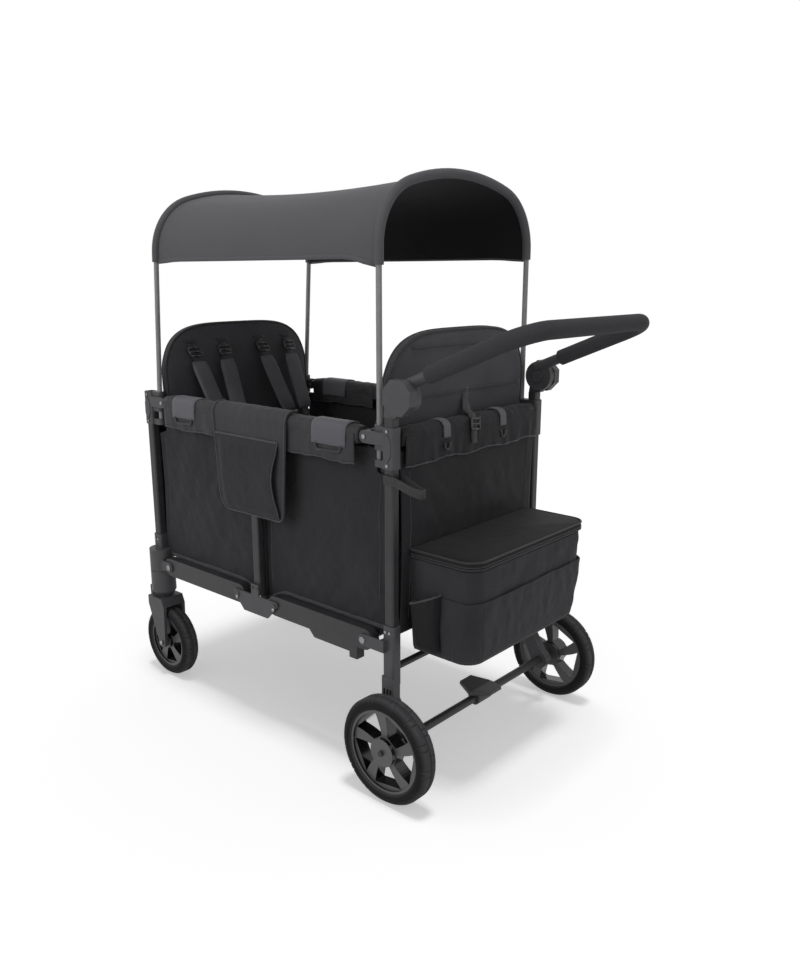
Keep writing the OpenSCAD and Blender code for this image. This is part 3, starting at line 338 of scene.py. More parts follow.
# A darker copy of the tub cloth for the end walls and end covers, which face away from the key light:
# painted shade.
shaded_end_fabric = fabric("shaded_end_fabric", shade(TUB_BLACK, 0.85))
# A lighter copy of the tub cloth for the basket: painted light on its lit back.
lit_bag_fabric = fabric("lit_bag_fabric", shade(TUB_BLACK, 1.35))
# A much darker copy of the tub cloth for the lid and the bottle pouch: painted shade on the lid's top, which
# faces the light from above.
shaded_lid_fabric = fabric("shaded_lid_fabric", shade(TUB_BLACK, 0.45), crease=0.25, sheen=0.03)
seat_fabric = fabric("seat_fabric", SEAT_TONE_PAINTED_LIGHT, crease=0.35, sheen=0.08)
shoulder_fabric = fabric("shoulder_fabric", shade(SEAT_TONE_PAINTED_LIGHT, 1.7), crease=0.2)
floor_fabric = fabric("floor_fabric", SEAT_TONE_PAINTED_LIGHT, pitch=0.003)
canopy_fabric = fabric("canopy_fabric", CANOPY_GREY, crease=0.06, mottle=0.05, sheen=0.04)
canopy_lining = fabric("canopy_lining", LINING, crease=0.06, sheen=0.0)
pad_tape = webbing("grey_webbing", TAPE_GREY)
dark_tape = webbing("black_webbing", TAPE_BLACK)
binding = webbing("binding_tape", shade(TUB_BLACK, 1.9))
piping = webbing("piping_tape", shade(TAPE_BLACK, 0.7))
tube_paint = hard("tube_paint", TUBE_GREY, 0.42, 0.25, 0.0009, 0.0016, Specular_IOR_Level=0.28)
pole_paint = hard("pole_paint", POLE_GREY, 0.36, 0.2, 0.0009, 0.0010, Specular_IOR_Level=0.5)
plastic = hard("moulded_plastic", PLASTIC, 0.5, 0.35, 0.0011, 0.0016, Specular_IOR_Level=0.3)
dark_plastic = hard("buckle_plastic", shade(PLASTIC, 0.3), 0.38, 0.25, 0.0011, 0.0008)
# grey faces partly a painted highlight
rim_plastic = wheel_painted_light("rim_plastic", RIM_FACE_PART_HIGHLIGHT, RIM_ROUND, 0.38, 0.16, 0.5)
# tread painted lighter than the sidewalls: painted light
tyre_rubber = wheel_painted_light("tyre_rubber", TYRE_SIDE, TYRE_TREAD_PAINTED_LIGHT, 0.7, 0.75, 0.10)
steel = hard("zinc_steel", STEEL_GREY, 0.3, 0.2, 0.0008, 0.0006, Metallic=1.0)
grip_foam = foam("grip_foam", GRIP_BLACK)

FINISH = {
    "frame_tube": tube_paint, "canopy_pole": pole_paint, "moulded_plastic": plastic,
    "tub_fabric": tub_fabric, "seat_fabric": seat_fabric, "floor_cover": floor_fabric,
    "harness_webbing": pad_tape, "canopy_fabric": canopy_fabric, "foam_grip": grip_foam,
    "tyre_rubber": tyre_rubber, "wheel_rim": rim_plastic, "rivet_steel": steel,
}


def finish_solids():
    """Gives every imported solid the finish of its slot."""
    slot_of = {row["node"]: row["material_slot"] for row in frame["record"]["subparts"]}
    for name, solid in nodes.items():
        for place in solid.material_slots:
            place.link = "OBJECT"
            place.material = FINISH[slot_of[name]]


# Meshes
def settle(piece):
    """Writes a piece's modifiers into its mesh."""
    if not piece.modifiers:
        return
    graph = bpy.context.evaluated_depsgraph_get()
    old, piece.data = piece.data, bpy.data.meshes.new_from_object(piece.evaluated_get(graph))
    piece.modifiers.clear()
    bpy.data.meshes.remove(old)


def dress(piece, body, slot, *replaced):
    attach(piece, body)
    if replaced:
        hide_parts(*replaced)
    return piece


class Shape:
    """Points and faces of one piece, gathered from grids, tubes and ribbons."""

    def __init__(self):
        self.points = []
        self.faces = []

    def grid(self, rows, wrap=False, caps=False):
        base, n = len(self.points), len(rows[0])
        for row in rows:
            self.points.extend(Vector(p) for p in row)
        for k in range(len(rows) - 1):
            for i in range(n if wrap else n - 1):
                a, b = base + k * n + i, base + k * n + (i + 1) % n
                self.faces.append((a, b, b + n, a + n))
        if caps:
            last = base + (len(rows) - 1) * n
            self.faces.append(tuple(range(base + n - 1, base - 1, -1)))
            self.faces.append(tuple(range(last, last + n)))
        return self

    def solid(self, rows):
        """A closed skin from rings of points, with both ends capped."""
        return self.grid(rows, wrap=True, caps=True)

    def sweep(self, path, section, across=None, closed=False):
        """A section of (side, up) points carried along a path; across fixes its side direction."""
        path = [Vector(p) for p in path]
        count = len(path)
        rows, side = [], None
        for k, here in enumerate(path):
            before = path[k - 1] if k or closed else here
            after = path[(k + 1) % count] if k + 1 < count or closed else here
            along = (after - before).normalized()
            if across is not None:
                side = Vector(across)
            elif side is None:
                side = along.orthogonal()
            side = (side - along * side.dot(along)).normalized()
            up = along.cross(side)
            rows.append([here + side * a + up * b for a, b in section])
        if closed:
            rows.append(rows[0])
        return self.grid(rows, wrap=True, caps=not closed)

    def tube(self, path, radius, sides=6, closed=False):
        section = [(radius * cos(q), radius * sin(q)) for q in circle(sides)]
        return self.sweep(path, section, closed=closed)

    def ribbon(self, path, width, thickness, across, closed=False):
        """A flat strap whose width lies along across."""
        a, b, c = width / 2, thickness / 2, min(width, thickness) * 0.3
        section = [(-a + c, -b), (a - c, -b), (a, -b + c), (a, b - c),
                   (a - c, b), (-a + c, b), (-a, b - c), (-a, -b + c)]
        return self.sweep(path, section, across, closed)

    def build(self, name, material, thickness=0.0, levels=0, lining=None):
        mesh = bpy.data.meshes.new(name)
        mesh.from_pydata(self.points, [], self.faces)
        edit = bmesh.new()
        edit.from_mesh(mesh)
        bmesh.ops.remove_doubles(edit, verts=edit.verts, dist=1e-6)
        bmesh.ops.recalc_face_normals(edit, faces=edit.faces)
        edit.to_mesh(mesh)
        edit.free()
        mesh.materials.append(material)
        if lining:
            mesh.materials.append(lining)
        mesh.shade_smooth()
        piece = bpy.data.objects.new(name, mesh)
        bpy.context.collection.objects.link(piece)
        if levels:
            piece.modifiers.new("round", "SUBSURF").levels = levels
        if thickness:
            layer = piece.modifiers.new("cloth", "SOLIDIFY")
            layer.thickness = thickness
            layer.offset = -1.0 if lining else 0.0
            layer.material_offset = 1 if lining else 0
            layer.use_even_offset = True
        settle(piece)
        return piece

    def put_on(self, name, material, body, *replaced, slot="tub_fabric", thickness=0.0):
        """Builds the piece and lets it ride on a body, in the place of the solids that it replaces."""
        return dress(self.build(name, material, thickness), body, slot, *replaced)


# Canopy
ARCH_X = 0.402
ARCH_Y = 0.268
ARCH_TOP = 1.336
SHOULDER_R = 0.136
CROWN_R = 0.596
CANOPY_HEM = 1.159
CROWN_Z = ARCH_TOP - CROWN_R
SHOULDER_Z = CROWN_Z + sqrt((CROWN_R - SHOULDER_R) ** 2 - (ARCH_Y - SHOULDER_R) ** 2)
SHOULDER_TURN = atan2(SHOULDER_Z - CROWN_Z, ARCH_Y - SHOULDER_R)
SLEEVE_R = 0.0105
CANOPY_HALF = ARCH_X - 0.0085
CANOPY_GROW = -0.0005
CANOPY_T = 0.0018
RIDGE_SAG = 0.016
SIDE_SAG = 0.006
HEM_DRAWN = 0.005
HEM_DRAWN_NEAR_REAR = 0.017
HEM_RISE_FAR = 0.004
FRONT_LEAN = tan(radians(4))
LEAN_FROM = 0.830


def lean(x, z):
    """How far back the lean of the front arch carries the cloth at a station."""
    return FRONT_LEAN * max(0.0, z - LEAN_FROM) * clamp((ARCH_X - x) / (2 * ARCH_X))


def hem_at(x, side):
    """Height of the hem at a station, on the near (-1) or the far (1) side; the poles draw it down."""
    drawn = HEM_DRAWN_NEAR_REAR if x > 0 and side < 0 else HEM_DRAWN
    return CANOPY_HEM + HEM_RISE_FAR * (side > 0) - drawn * hump(x, copysign(ARCH_X, x), 0.10)


def half_arch(grow, hem):
    """Points (y, z) from a hem up to the crown, a distance grow outside the pole."""
    half = [(ARCH_Y + grow, z) for z in steps(hem, SHOULDER_Z, 5)[:-1]]
    for turn in steps(0, SHOULDER_TURN, 14)[:-1]:
        half.append((ARCH_Y - SHOULDER_R + (SHOULDER_R + grow) * cos(turn),
                     SHOULDER_Z + (SHOULDER_R + grow) * sin(turn)))
    for turn in steps(SHOULDER_TURN, pi / 2, 8):
        half.append(((CROWN_R + grow) * cos(turn), CROWN_Z + (CROWN_R + grow) * sin(turn)))
    return half


def canopy_row(x, grow):
    """The cloth over one station along the wagon, sagging between the arches."""
    slack = max(0.0, 1 - (x / ARCH_X) ** 2)
    near, far = half_arch(grow, hem_at(x, -1)), half_arch(grow, hem_at(x, 1))
    row = []
    for y, z in [(-y, z) for y, z in near] + [(y, z) for y, z in reversed(far[:-1])]:
        crown = smooth((z - SHOULDER_Z + 0.03) / (ARCH_TOP - SHOULDER_Z))
        side = swell(share_of(z, CANOPY_HEM, ARCH_TOP))
        row.append((x + lean(x, z), y - copysign(SIDE_SAG * slack * side * (1 - crown), y),
                    z - RIDGE_SAG * slack * crown))
    return row


def make_canopy():
    """The cloth, its hems along both sides and the sleeves that hold it on the arches."""
    rows = [canopy_row(x, CANOPY_GROW) for x in steps(-CANOPY_HALF, CANOPY_HALF, 34)]
    cloth = Shape().grid(rows).build("canopy_sheet", canopy_fabric, CANOPY_T, 1, canopy_lining)
    middle = rows[len(rows) // 2]
    width = sum((Vector(a) - Vector(b)).length for a, b in zip(middle, middle[1:]))
    dress(cloth, "canopy_front", "canopy_fabric", "canopy_cloth")
    trim = Shape()
    edges = [canopy_row(x, CANOPY_GROW) for x in steps(-CANOPY_HALF, CANOPY_HALF, 24)]
    for side in (0, -1):
        trim.ribbon([row[side] for row in edges], *HEM_TAPE, UP)
    hems = trim.put_on("canopy_hems", canopy_fabric, "canopy_front", slot="canopy_fabric")
    for piece in (cloth, hems):
        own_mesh(piece)
    for end, sign in ENDS:
        rows = [canopy_row(sign * (ARCH_X + SLEEVE_R * sin(turn)), SLEEVE_R * cos(turn))
                for turn in steps(0, tau, 16)]
        sleeve = Shape().grid(rows)
        sleeve.put_on(f"canopy_sleeve_{end}", canopy_fabric, f"canopy_{end}", slot="canopy_fabric")


# Padded rail covers
PAD_Z = RAIL_Z
PAD_HALF_W = 0.0238
PAD_HALF_H = 0.0222
PAD_INNER_X = 0.095
PAD_OUTER_X = 0.356
END_PAD_HALF = 0.2545
ROLL_POWER = 0.72
FLAP_HEM = 0.730
OUTER_FLAP = (1, FLAP_HEM, 0.0034)  # side, height of the hem, depth of the folds
INNER_FLAP = (-1, 0.746, 0.0022)
FLAP_OUT = 0.0231
FLAP_START = PAD_Z + 0.004
FLAP_T = 0.002
FLAP_HEM_R = 0.0021
FLAP_WAVE = (-0.003, 0.0036)
STRAP_SPANS = {"rear": (0.222, 0.328), "front": (0.210, 0.305)}
SIDE_STRAP_LOW = (0.766, 0.762)  # heights of a strap's inner and outer ends
END_STRAPS = {"rear": (-0.1165, 0.0978), "front": (-0.107, 0.107)}
END_STRAP_HALF = 0.012
END_STRAP_LOW = (0.790, 0.776)
STRAP_FACES = (0.0012, 0.0034)  # inner and outer face of the tape, outside the roll
STRAP_EDGE = 0.0012
LOOP_Z = (0.764, 0.754, 0.749)
LOOP_R = 0.0030


def strapped(u, spans, margin):
    """1 in the middle of a strap's span, falling to 0 a margin beside it."""
    return max(hump(u, (a + b) / 2, (b - a) / 2 + margin) for a, b in spans)


def roll_rows(place, low, high, spans):
    """Rings of a stuffed roll, drawn in at its ends and under its straps."""
    us = steps(low, high, max(24, int((high - low) / 0.005)))
    start_cap = ((low, 0.25), (low, 0.7))
    end_cap = ((high, 0.7), (high, 0.25))
    rows = []
    for u, share in (*start_cap, *((u, 1.0) for u in us), *end_cap):
        from_end = min(u - low, high - u) / (high - low)
        size = share * (0.84 + 0.16 * smooth(from_end / 0.1) - 0.03 * strapped(u, spans, 0.03))
        free = 1 - strapped(u, spans, 0.01)
        row = []
        for turn in circle(30):
            a, b = square_round(turn, ROLL_POWER)
            out, rise = PAD_HALF_W * size * a, PAD_HALF_H * size * b
            p = Vector(place(u, out, PAD_Z + rise))
            lump = 1 + (0.09 * crumple(p, 0.05) + 0.08 * crumple(p, 0.022)) * free
            row.append(place(u, out * lump, PAD_Z + rise * lump))
        rows.append(row)
    return rows


def flap_columns(place, low, high, flap):
    """Columns (u, out, z) of a flap that hangs in folds from a roll, with an uneven hem."""
    way, hem, depth = flap
    columns = []
    for u in steps(low + 0.004, high - 0.006, max(40, int((high - low) / 0.0035))):
        seat = Vector(place(u, 0.0, hem))
        edge = hem + 0.0065 * noise.noise(seat / 0.075) + 0.002 * noise.noise(seat / 0.02)
        sway = 0.5 * ripple(u / 0.05, way * 5.3, 1.0)
        column = []
        for t in steps(0, 1, 9):
            z = between(FLAP_START, edge, t)
            wave = depth * (ripple(u / 0.021, way * 3.1, z / 0.09) + sway) * smooth(t * 1.4)
            out = way * (FLAP_OUT + 0.0008 * swell(t)) + max(FLAP_WAVE[0], min(FLAP_WAVE[1], wave))
            column.append((u, out, z))
        columns.append(column)
    return columns


def cover_shape(place, low, high, spans, flaps):
    """A stuffed roll along a rail with the flaps that hang beside it, and the flaps' hems.

    place(u, out, z) puts a point along the rail; spans are where straps draw the roll in.
    """
    shape, hems = Shape(), Shape()
    shape.solid(roll_rows(place, low, high, spans))
    for flap in flaps:
        way = flap[0]
        loops, line = [], []
        for column in flap_columns(place, low, high, flap):
            back = [(u, out - way * FLAP_T, z) for u, out, z in reversed(column)]
            loops.append([place(*p) for p in column + back])
            u, out, z = column[-1]
            line.append(place(u, out - way * FLAP_T / 2, z))
        shape.solid(loops)
        hems.tube(line, FLAP_HEM_R)
    return shape, hems


def over_roll(offset, inner_z, outer_z):
    """Line (out, z) that lies over a padded roll and its flaps, an offset outside them."""
    w, h = PAD_HALF_W + offset, PAD_HALF_H + offset
    line = [(-w - 0.0008, z) for z in steps(inner_z, PAD_Z, 4)[:-1]]
    for turn in steps(pi, 0, 16):
        a, b = square_round(turn, ROLL_POWER)
        line.append((w * a, PAD_Z + h * b))
    return line + [(w + 0.0008, z) for z in steps(PAD_Z, outer_z, 4)[1:]]


def strap_wrap(wraps, loops, place, low, high, ends):
    """A tape round a padded roll, with a short loop of dark tape below its outer edge."""
    line, shell = [over_roll(offset, *ends) for offset in STRAP_FACES]
    us = (low, low + STRAP_EDGE, *steps(low, high, 8)[1:-1], high - STRAP_EDGE, high)
    rows = []
    for u in us:
        thin = STRAP_EDGE if u in (low, high) else 0.0
        rows.append([place(u, *p) for p in line]
                    + [place(u, out - copysign(thin, out), z - thin) for out, z in reversed(shell)])
    wraps.solid(rows)
    out = PAD_HALF_W + LOOP_R
    inset = 0.12 * (high - low)
    a, b = low + inset, high - inset
    drop = zip((a, a + 0.002, a + 0.006, b - 0.006, b - 0.002, b), LOOP_Z + LOOP_Z[::-1])
    loops.tube([place(u, out, z) for u, z in drop], LOOP_R)


def put_cover(names, place, reach, spans, flaps, strap_low, material, body, replaced):
    """A padded cover along a rail with its hems, straps and strap loops, under four names."""
    cover, hems = cover_shape(place, *reach, spans, flaps)
    wraps, loops = Shape(), Shape()
    for low, high in spans:
        strap_wrap(wraps, loops, place, low, high, strap_low)
    cover.put_on(names[0], material, body, replaced)
    hems.put_on(names[1], binding, body)
    wraps.put_on(names[2], pad_tape, body, slot="harness_webbing")
    loops.put_on(names[3], dark_tape, body, slot="harness_webbing")


def make_side_covers():
    for end, sign in ENDS:
        for hand, side in HANDS:
            def place(u, out, z):
                return (sign * u, side * (POST_Y + out), z)
            names = [f"rail_{kind}_{end}_{hand}" for kind in ("cover", "hems", "strap", "loop")]
            put_cover(names, place, (PAD_INNER_X, PAD_OUTER_X), [STRAP_SPANS[end]],
                      (OUTER_FLAP, INNER_FLAP), SIDE_STRAP_LOW, flap_fabric, f"top_{end}", f"top_pads_{end}")


def make_end_covers():
    for end, sign in ENDS:
        def place(u, out, z):
            return (sign * (POST_X + out), u, z)
        names = [f"end_{kind}_{end}" for kind in ("cover", "hem", "straps", "loops")]
        spans = [(y - END_STRAP_HALF, y + END_STRAP_HALF) for y in END_STRAPS[end]]
        put_cover(names, place, (-END_PAD_HALF, END_PAD_HALF), spans, (OUTER_FLAP,),
                  END_STRAP_LOW, shaded_end_fabric, f"{end}_end", f"{end}_rail_pad")


def make_centre_covers():
    """Covers over the top hinges, on both sides."""
    half = PAD_INNER_X - 0.0012
    line = over_roll(0.0016, 0.770, FLAP_HEM)
    for hand, side in HANDS:
        rows = []
        for x in steps(-half, half, 30):
            rows.append([(x, side * (POST_Y + out + 0.0012 * ripple(x / 0.02, z / 0.05, side * 2.0)), z)
                         for out, z in line])
        Shape().grid(rows).put_on(f"centre_cover_{hand}", flap_fabric, "centre", "centre_pads",
                                  thickness=COVER_T)


# Fabric walls
WALL_LOW = 0.353
WALL_HIGH = 0.764
WALL_GAP = {"rear": 0.004, "front": 0.009}  # drawn in from the posts
WALL_Y = {"rear": 0.2590, "front": 0.2635}
WALL_LAP = 0.012
WALL_DROP = 0.030
WALL_FOLD_KEY = {"rear": 7.0, "front": 3.0}  # picks the pattern of folds
WALL_FOOT = {"rear": 0.0, "front": 0.022}  # cut away beside the caster housings
SLEEVE_TOP = {"rear": 0.376, "front": 0.413}
SNAPS = (0.665, 0.555, 0.455)
WALL_EDGE = 0.3875
WALL_TO_POST = 0.031
WALL_SEAM_OUTER = 0.026
WALL_SEAM_INNER = 0.030
END_WALL_X = 0.4480
END_WALL_HALF = 0.2562
END_WALL_GAP = 0.006
END_WALL_SEAMS = (-0.89, 0.89)
END_WALL_BELLY = {"rear": 0.0050, "front": 0.0090}
END_WALL_FOOT = {"rear": 0.0, "front": 0.018}
LID_REACH = 0.548  # the basket and its lid need a flat wall below this height


def wall_edge(end, z):
    """Where a side wall ends at its corner post, at a height; it is drawn in between its fixings."""
    low = smooth((z - SLEEVE_TOP[end] - 0.004) / 0.012)
    high = smooth((BRACKET_LOW - z) / 0.012)
    drawn = WALL_GAP[end] * swell(share_of(z, SLEEVE_TOP[end], BRACKET_LOW)) ** 0.7
    corner = WALL_FOOT[end] * (1 - smooth((z - HOUSING_TOP) / 0.010))
    return WALL_EDGE + (WALL_TO_POST + 0.004 * low - drawn) * high - corner


def wall_low(x):
    """Lower edge of a side wall: a short flap hangs lower over the bottom hinge."""
    return WALL_LOW - WALL_DROP * hump(x, 0.0, 0.085)


def wall_inner(z):
    """Where a side wall ends at the middle: halves lap below, and stop short of the top hinge above."""
    return -WALL_LAP + (PAD_INNER_X - 0.004 + WALL_LAP) * smooth((z - 0.716) / 0.03)


def wall_bulge(end, x, z):
    """How far a side wall stands out of its plane."""
    edge = wall_edge(end, z)
    s = (edge - x) / edge
    t = clamp(share_of(z, WALL_LOW, WALL_HIGH))
    belly = 0.0048 * swell(s) * swell(t) ** 0.6
    key = WALL_FOLD_KEY[end]
    folds = 0.0052 * crumple((x + 0.45 * z, key, z), 0.10, (1.0, 1.0, 0.5))
    folds += 0.0024 * crumple((x - 0.6 * z, key + 2.0, z), 0.035, (1.0, 1.0, 0.6))
    dents = sum(0.0030 * hump(z, snap, 0.03) * smooth(1 - s / 0.1) for snap in SNAPS)
    rim = inside(s, 0.06) * inside(t, 0.05)
    return (belly + max(-0.8 * belly - 0.002, folds)) * rim - dents * smooth(s / 0.02)


def make_side_wall(end, sign, hand, side):
    def point(x, z, lift=0.0):
        return (sign * x, side * (WALL_Y[end] + wall_bulge(end, x, z) + lift), z)
    rows = []
    for t in steps(0, 1, 70):
        level = between(WALL_LOW, WALL_HIGH, t)
        rows.append([point(x, level - (WALL_LOW - wall_low(x)) * (1 - t) ** 6)
                     for x in steps(wall_inner(level), wall_edge(end, level), 72)])
    wall = Shape().grid(rows).build(f"side_wall_{end}_{hand}", tub_fabric, CLOTH_T)
    seams = Shape()
    seams.tube([point(wall_edge(end, z) - WALL_SEAM_OUTER, z, SEAM_LIFT)
                for z in steps(WALL_LOW + 0.07, 0.700, 40)], SEAM_R)
    seams.tube([point(WALL_SEAM_INNER, z, SEAM_LIFT) for z in steps(WALL_LOW + 0.01, 0.715, 40)], SEAM_R)
    xs = steps(-WALL_LAP, wall_edge(end, WALL_LOW) - 0.002, 40)
    seams.ribbon([point(x, wall_low(x) + 0.005, 0.0006) for x in xs], *HEM_TAPE, UP)
    trim = seams.build(f"side_wall_seams_{end}_{hand}", binding)
    wall_edge(end, 0.55) + WALL_LAP
    for piece in (wall, trim):
        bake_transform(piece)
    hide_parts(f"{end}_side_panels")


def end_wall_half(end, z):
    """Half width of an end wall at a height: drawn in between the posts' sleeves and brackets."""
    drawn = END_WALL_GAP * swell(share_of(z, 0.40, 0.715)) ** 0.7
    return END_WALL_HALF - drawn - END_WALL_FOOT[end] * (1 - smooth((z - HOUSING_TOP - 0.002) / 0.010))


def make_end_wall(end, sign):
    def point(share, z, lift=0.0):
        y = share * end_wall_half(end, z)
        t = share_of(z, WALL_LOW, WALL_HIGH)
        clear = 1.0 if end == "front" else smooth((z - LID_REACH) / 0.05)
        belly = END_WALL_BELLY[end] * cos(pi * share / 2) * swell(t) ** 0.7
        folds = 0.0075 * crumple((y + 0.6 * z, sign * 2.0, z - 0.5 * y), 0.12, (1.0, 1.0, 0.4))
        rim = smooth((1 - abs(share)) / 0.2) * inside(t, 0.06)
        return (sign * (END_WALL_X + clear * (belly + max(-0.4 * belly, folds) * rim) + lift), y, z)
    rows = [[point(share, z) for share in steps(-1, 1, 70)] for z in steps(WALL_LOW, WALL_HIGH, 60)]
    wall = Shape().grid(rows).build(f"end_wall_{end}", shaded_end_fabric, CLOTH_T)
    dress(wall, f"{end}_end", "tub_fabric", f"{end}_end_panel")
    seams = Shape()
    for share in END_WALL_SEAMS:
        seams.tube([point(share, z, SEAM_LIFT) for z in steps(WALL_LOW + 0.03, 0.72, 40)], SEAM_R)
    seams.put_on(f"end_wall_seams_{end}", binding, f"{end}_end")


# Seats
SEAT_X = 0.3955
SEAT_LEAN = radians(3)
SEAT_LOW = 0.530
SEAT_TOP = {"rear": 1.006, "front": 0.992}
SEAT_HALF_W = 0.249
SEAT_FLARE = 0.006
SEAT_HALF_T = 0.019
SEAT_SEAMS = ((0.034, 0.185), (0.138, 0.238), (0.145, 0.238))  # drop below the top, half length
PAN_HINGE_X = 0.3678
PAN_Z = 0.580
PAN_HALF_L = 0.1075
PAN_HALF_W = 0.240
PAN_HALF_T = 0.020
PAN_TUFT_X = 0.036
CUSHION_RINGS = (0.12, 0.3, 0.5, 0.68, 0.82, 0.91, 0.96, 0.99, 1.0)
PIPING_SHARE = 0.993
SEAT_PIPING_R = 0.0036
SEAT_SEAM_R = 0.0016
PAN_PIPING_R = 0.003


def cushion_half(share, half_t):
    """Half thickness of a cushion at a share of the way from its middle to its edge."""
    return half_t * (0.35 + 0.65 * sqrt(max(0.0, 1 - share ** 5)))


def cushion_shape(point, count):
    """A cushion whose rings of points run over its front face (1) and back over the other (-1)."""
    rows = []
    for face, rings in ((1, CUSHION_RINGS), (-1, CUSHION_RINGS[::-1])):
        for share in rings:
            rows.append([point(face, turn, share) for turn in circle(count)])
    return Shape().solid(rows)


def seat_point(end_sign, ahead, y, z):
    """A point on a seat back: ahead of its middle plane towards the sitter, at a height."""
    h = z - RAIL_Z
    x = SEAT_X - ahead * cos(SEAT_LEAN) + h * sin(SEAT_LEAN)
    return (end_sign * x, y, RAIL_Z + ahead * sin(SEAT_LEAN) + h * cos(SEAT_LEAN))


def seat_outline(end, turn, share):
    """A point (y, z) of a seat back's outline, drawn in by a share; its upper corners are rounder."""
    u, v = square_round(turn, 0.40 + 0.10 * smooth(2 * sin(turn)))
    half = (SEAT_TOP[end] - SEAT_LOW) / 2
    z = SEAT_LOW + half * (1 + v * share)
    wide = SEAT_HALF_W + SEAT_FLARE * smooth(share_of(z, SEAT_LOW, SEAT_TOP[end]))
    return u * share * wide, z


def seat_face(end, y, z):
    """Half thickness of a seat back at a place on it."""
    half = (SEAT_TOP[end] - SEAT_LOW) / 2
    share = min(1.0, max(abs(y) / SEAT_HALF_W, abs(z - SEAT_LOW - half) / half))
    return cushion_half(share, SEAT_HALF_T)


def make_seat_back(end, sign):
    body, count = f"{end}_end", 120

    def point(face, turn, share):
        y, z = seat_outline(end, turn, share)
        lumps = 0.0022 * crumple((face * 2.0, y, z), 0.09) * (1 - share ** 4)
        return seat_point(sign, face * (cushion_half(share, SEAT_HALF_T) + lumps), y, z)
    cushion = cushion_shape(point, count)
    piece = cushion.put_on(f"seat_back_cushion_{end}", seat_fabric, body, f"{end}_seat_back",
                           slot="seat_fabric")
    edge = Shape()
    for face in (1, -1):
        line = [seat_point(sign, face * SEAT_HALF_T * 0.42, *seat_outline(end, turn, PIPING_SHARE))
                for turn in circle(count)]
        edge.tube(line, SEAT_PIPING_R, 8, closed=True)
    edge.put_on(f"seat_piping_{end}", piping, body, slot="seat_fabric")
    seams = Shape()
    for drop, half in SEAT_SEAMS:
        z = SEAT_TOP[end] - drop
        line = [seat_point(sign, -seat_face(end, y, z) - 0.0006, y, z) for y in steps(-half, half, 40)]
        seams.tube(line, SEAT_SEAM_R)
    seams.put_on(f"seat_back_seams_{end}", piping, body, slot="seat_fabric")


def make_seat_pan(end, sign):
    body, count = f"{end}_seat", 100
    middle_x, middle_z = PAN_HINGE_X - PAN_HALF_L, PAN_Z - PAN_HALF_T

    def point(face, turn, share):
        u, v = square_round(turn)
        x, y = u * share * PAN_HALF_L, v * share * PAN_HALF_W
        tuft = 0.003 * max(hump(x, s * PAN_TUFT_X, 0.012) for s in (-1, 1)) * (1 - share ** 6)
        rise = cushion_half(share, PAN_HALF_T) - (tuft if face > 0 else 0)
        lumps = 0.0012 * crumple((x, y, face * 3.0), 0.07) * (1 - share ** 4)
        return (sign * (middle_x + x), y, middle_z + face * (rise + lumps))
    cushion = cushion_shape(point, count)
    piece = cushion.put_on(f"seat_pan_cushion_{end}", seat_fabric, body, f"{end}_seat_pan",
                           slot="seat_fabric")
    line = []
    for turn in circle(count):
        u, v = square_round(turn)
        line.append((sign * (middle_x + PIPING_SHARE * u * PAN_HALF_L), PIPING_SHARE * v * PAN_HALF_W,
                     middle_z + PAN_HALF_T * 0.36))
    edge = Shape().tube(line, PAN_PIPING_R, 8, closed=True)
    edge.put_on(f"seat_pan_piping_{end}", piping, body, slot="seat_fabric")


# Harnesses
HARNESS_Y = (-0.1718, -0.0672, 0.0672, 0.1718)
CHILD_Y = 0.12
SLOT_Z = 0.945
SLOT_W = 0.042
BUCKLE_X = 0.205
BUCKLE_Z = 0.597
BUCKLE_RINGS = ((-0.010, 0.02, 0.012), (-0.008, 0.026, 0.018), (0.0, 0.029, 0.022),
                (0.006, 0.027, 0.020), (0.009, 0.02, 0.013))
WEB = (0.025, 0.0016)
STRAP_SAG = 0.012
SHOULDER_SPAN = (0.115, 0.55)  # shares of the strap's run
SHOULDER_HALF_W = 0.0250
SLIDER_AT = 0.045
SLOT_TAPE = (0.0062, 0.0024)
LADDER_R = 0.0026


def slider_frame(shape, middle, along, normal, half_w=0.0185, half_l=0.012):
    """A flat ladder buckle: two sides and three bars."""
    middle = middle + normal * 0.003
    for way in (-1, 1):
        side = middle + ACROSS * (way * half_w)
        shape.tube([side - along * half_l, side + along * half_l], LADDER_R, 8)
    for shift in (-half_l, 0.0, half_l):
        bar = middle + along * shift
        shape.tube([bar - ACROSS * half_w, bar + ACROSS * half_w], LADDER_R, 8)


def shoulder_pad(shape, line, normal):
    """A flat padded sleeve along a strap."""
    rows = []
    for k, here in enumerate(line):
        taper = smooth(min(k, len(line) - 1 - k) / 2.5)
        half_w, half_t = SHOULDER_HALF_W * (0.88 + 0.12 * taper), 0.0012 + 0.0060 * taper
        rows.append([here + ACROSS * (half_w * sgn_pow(cos(turn), 0.5))
                     + normal * (half_t * sgn_pow(sin(turn), 0.7)) for turn in circle(20)])
    shape.solid(rows)


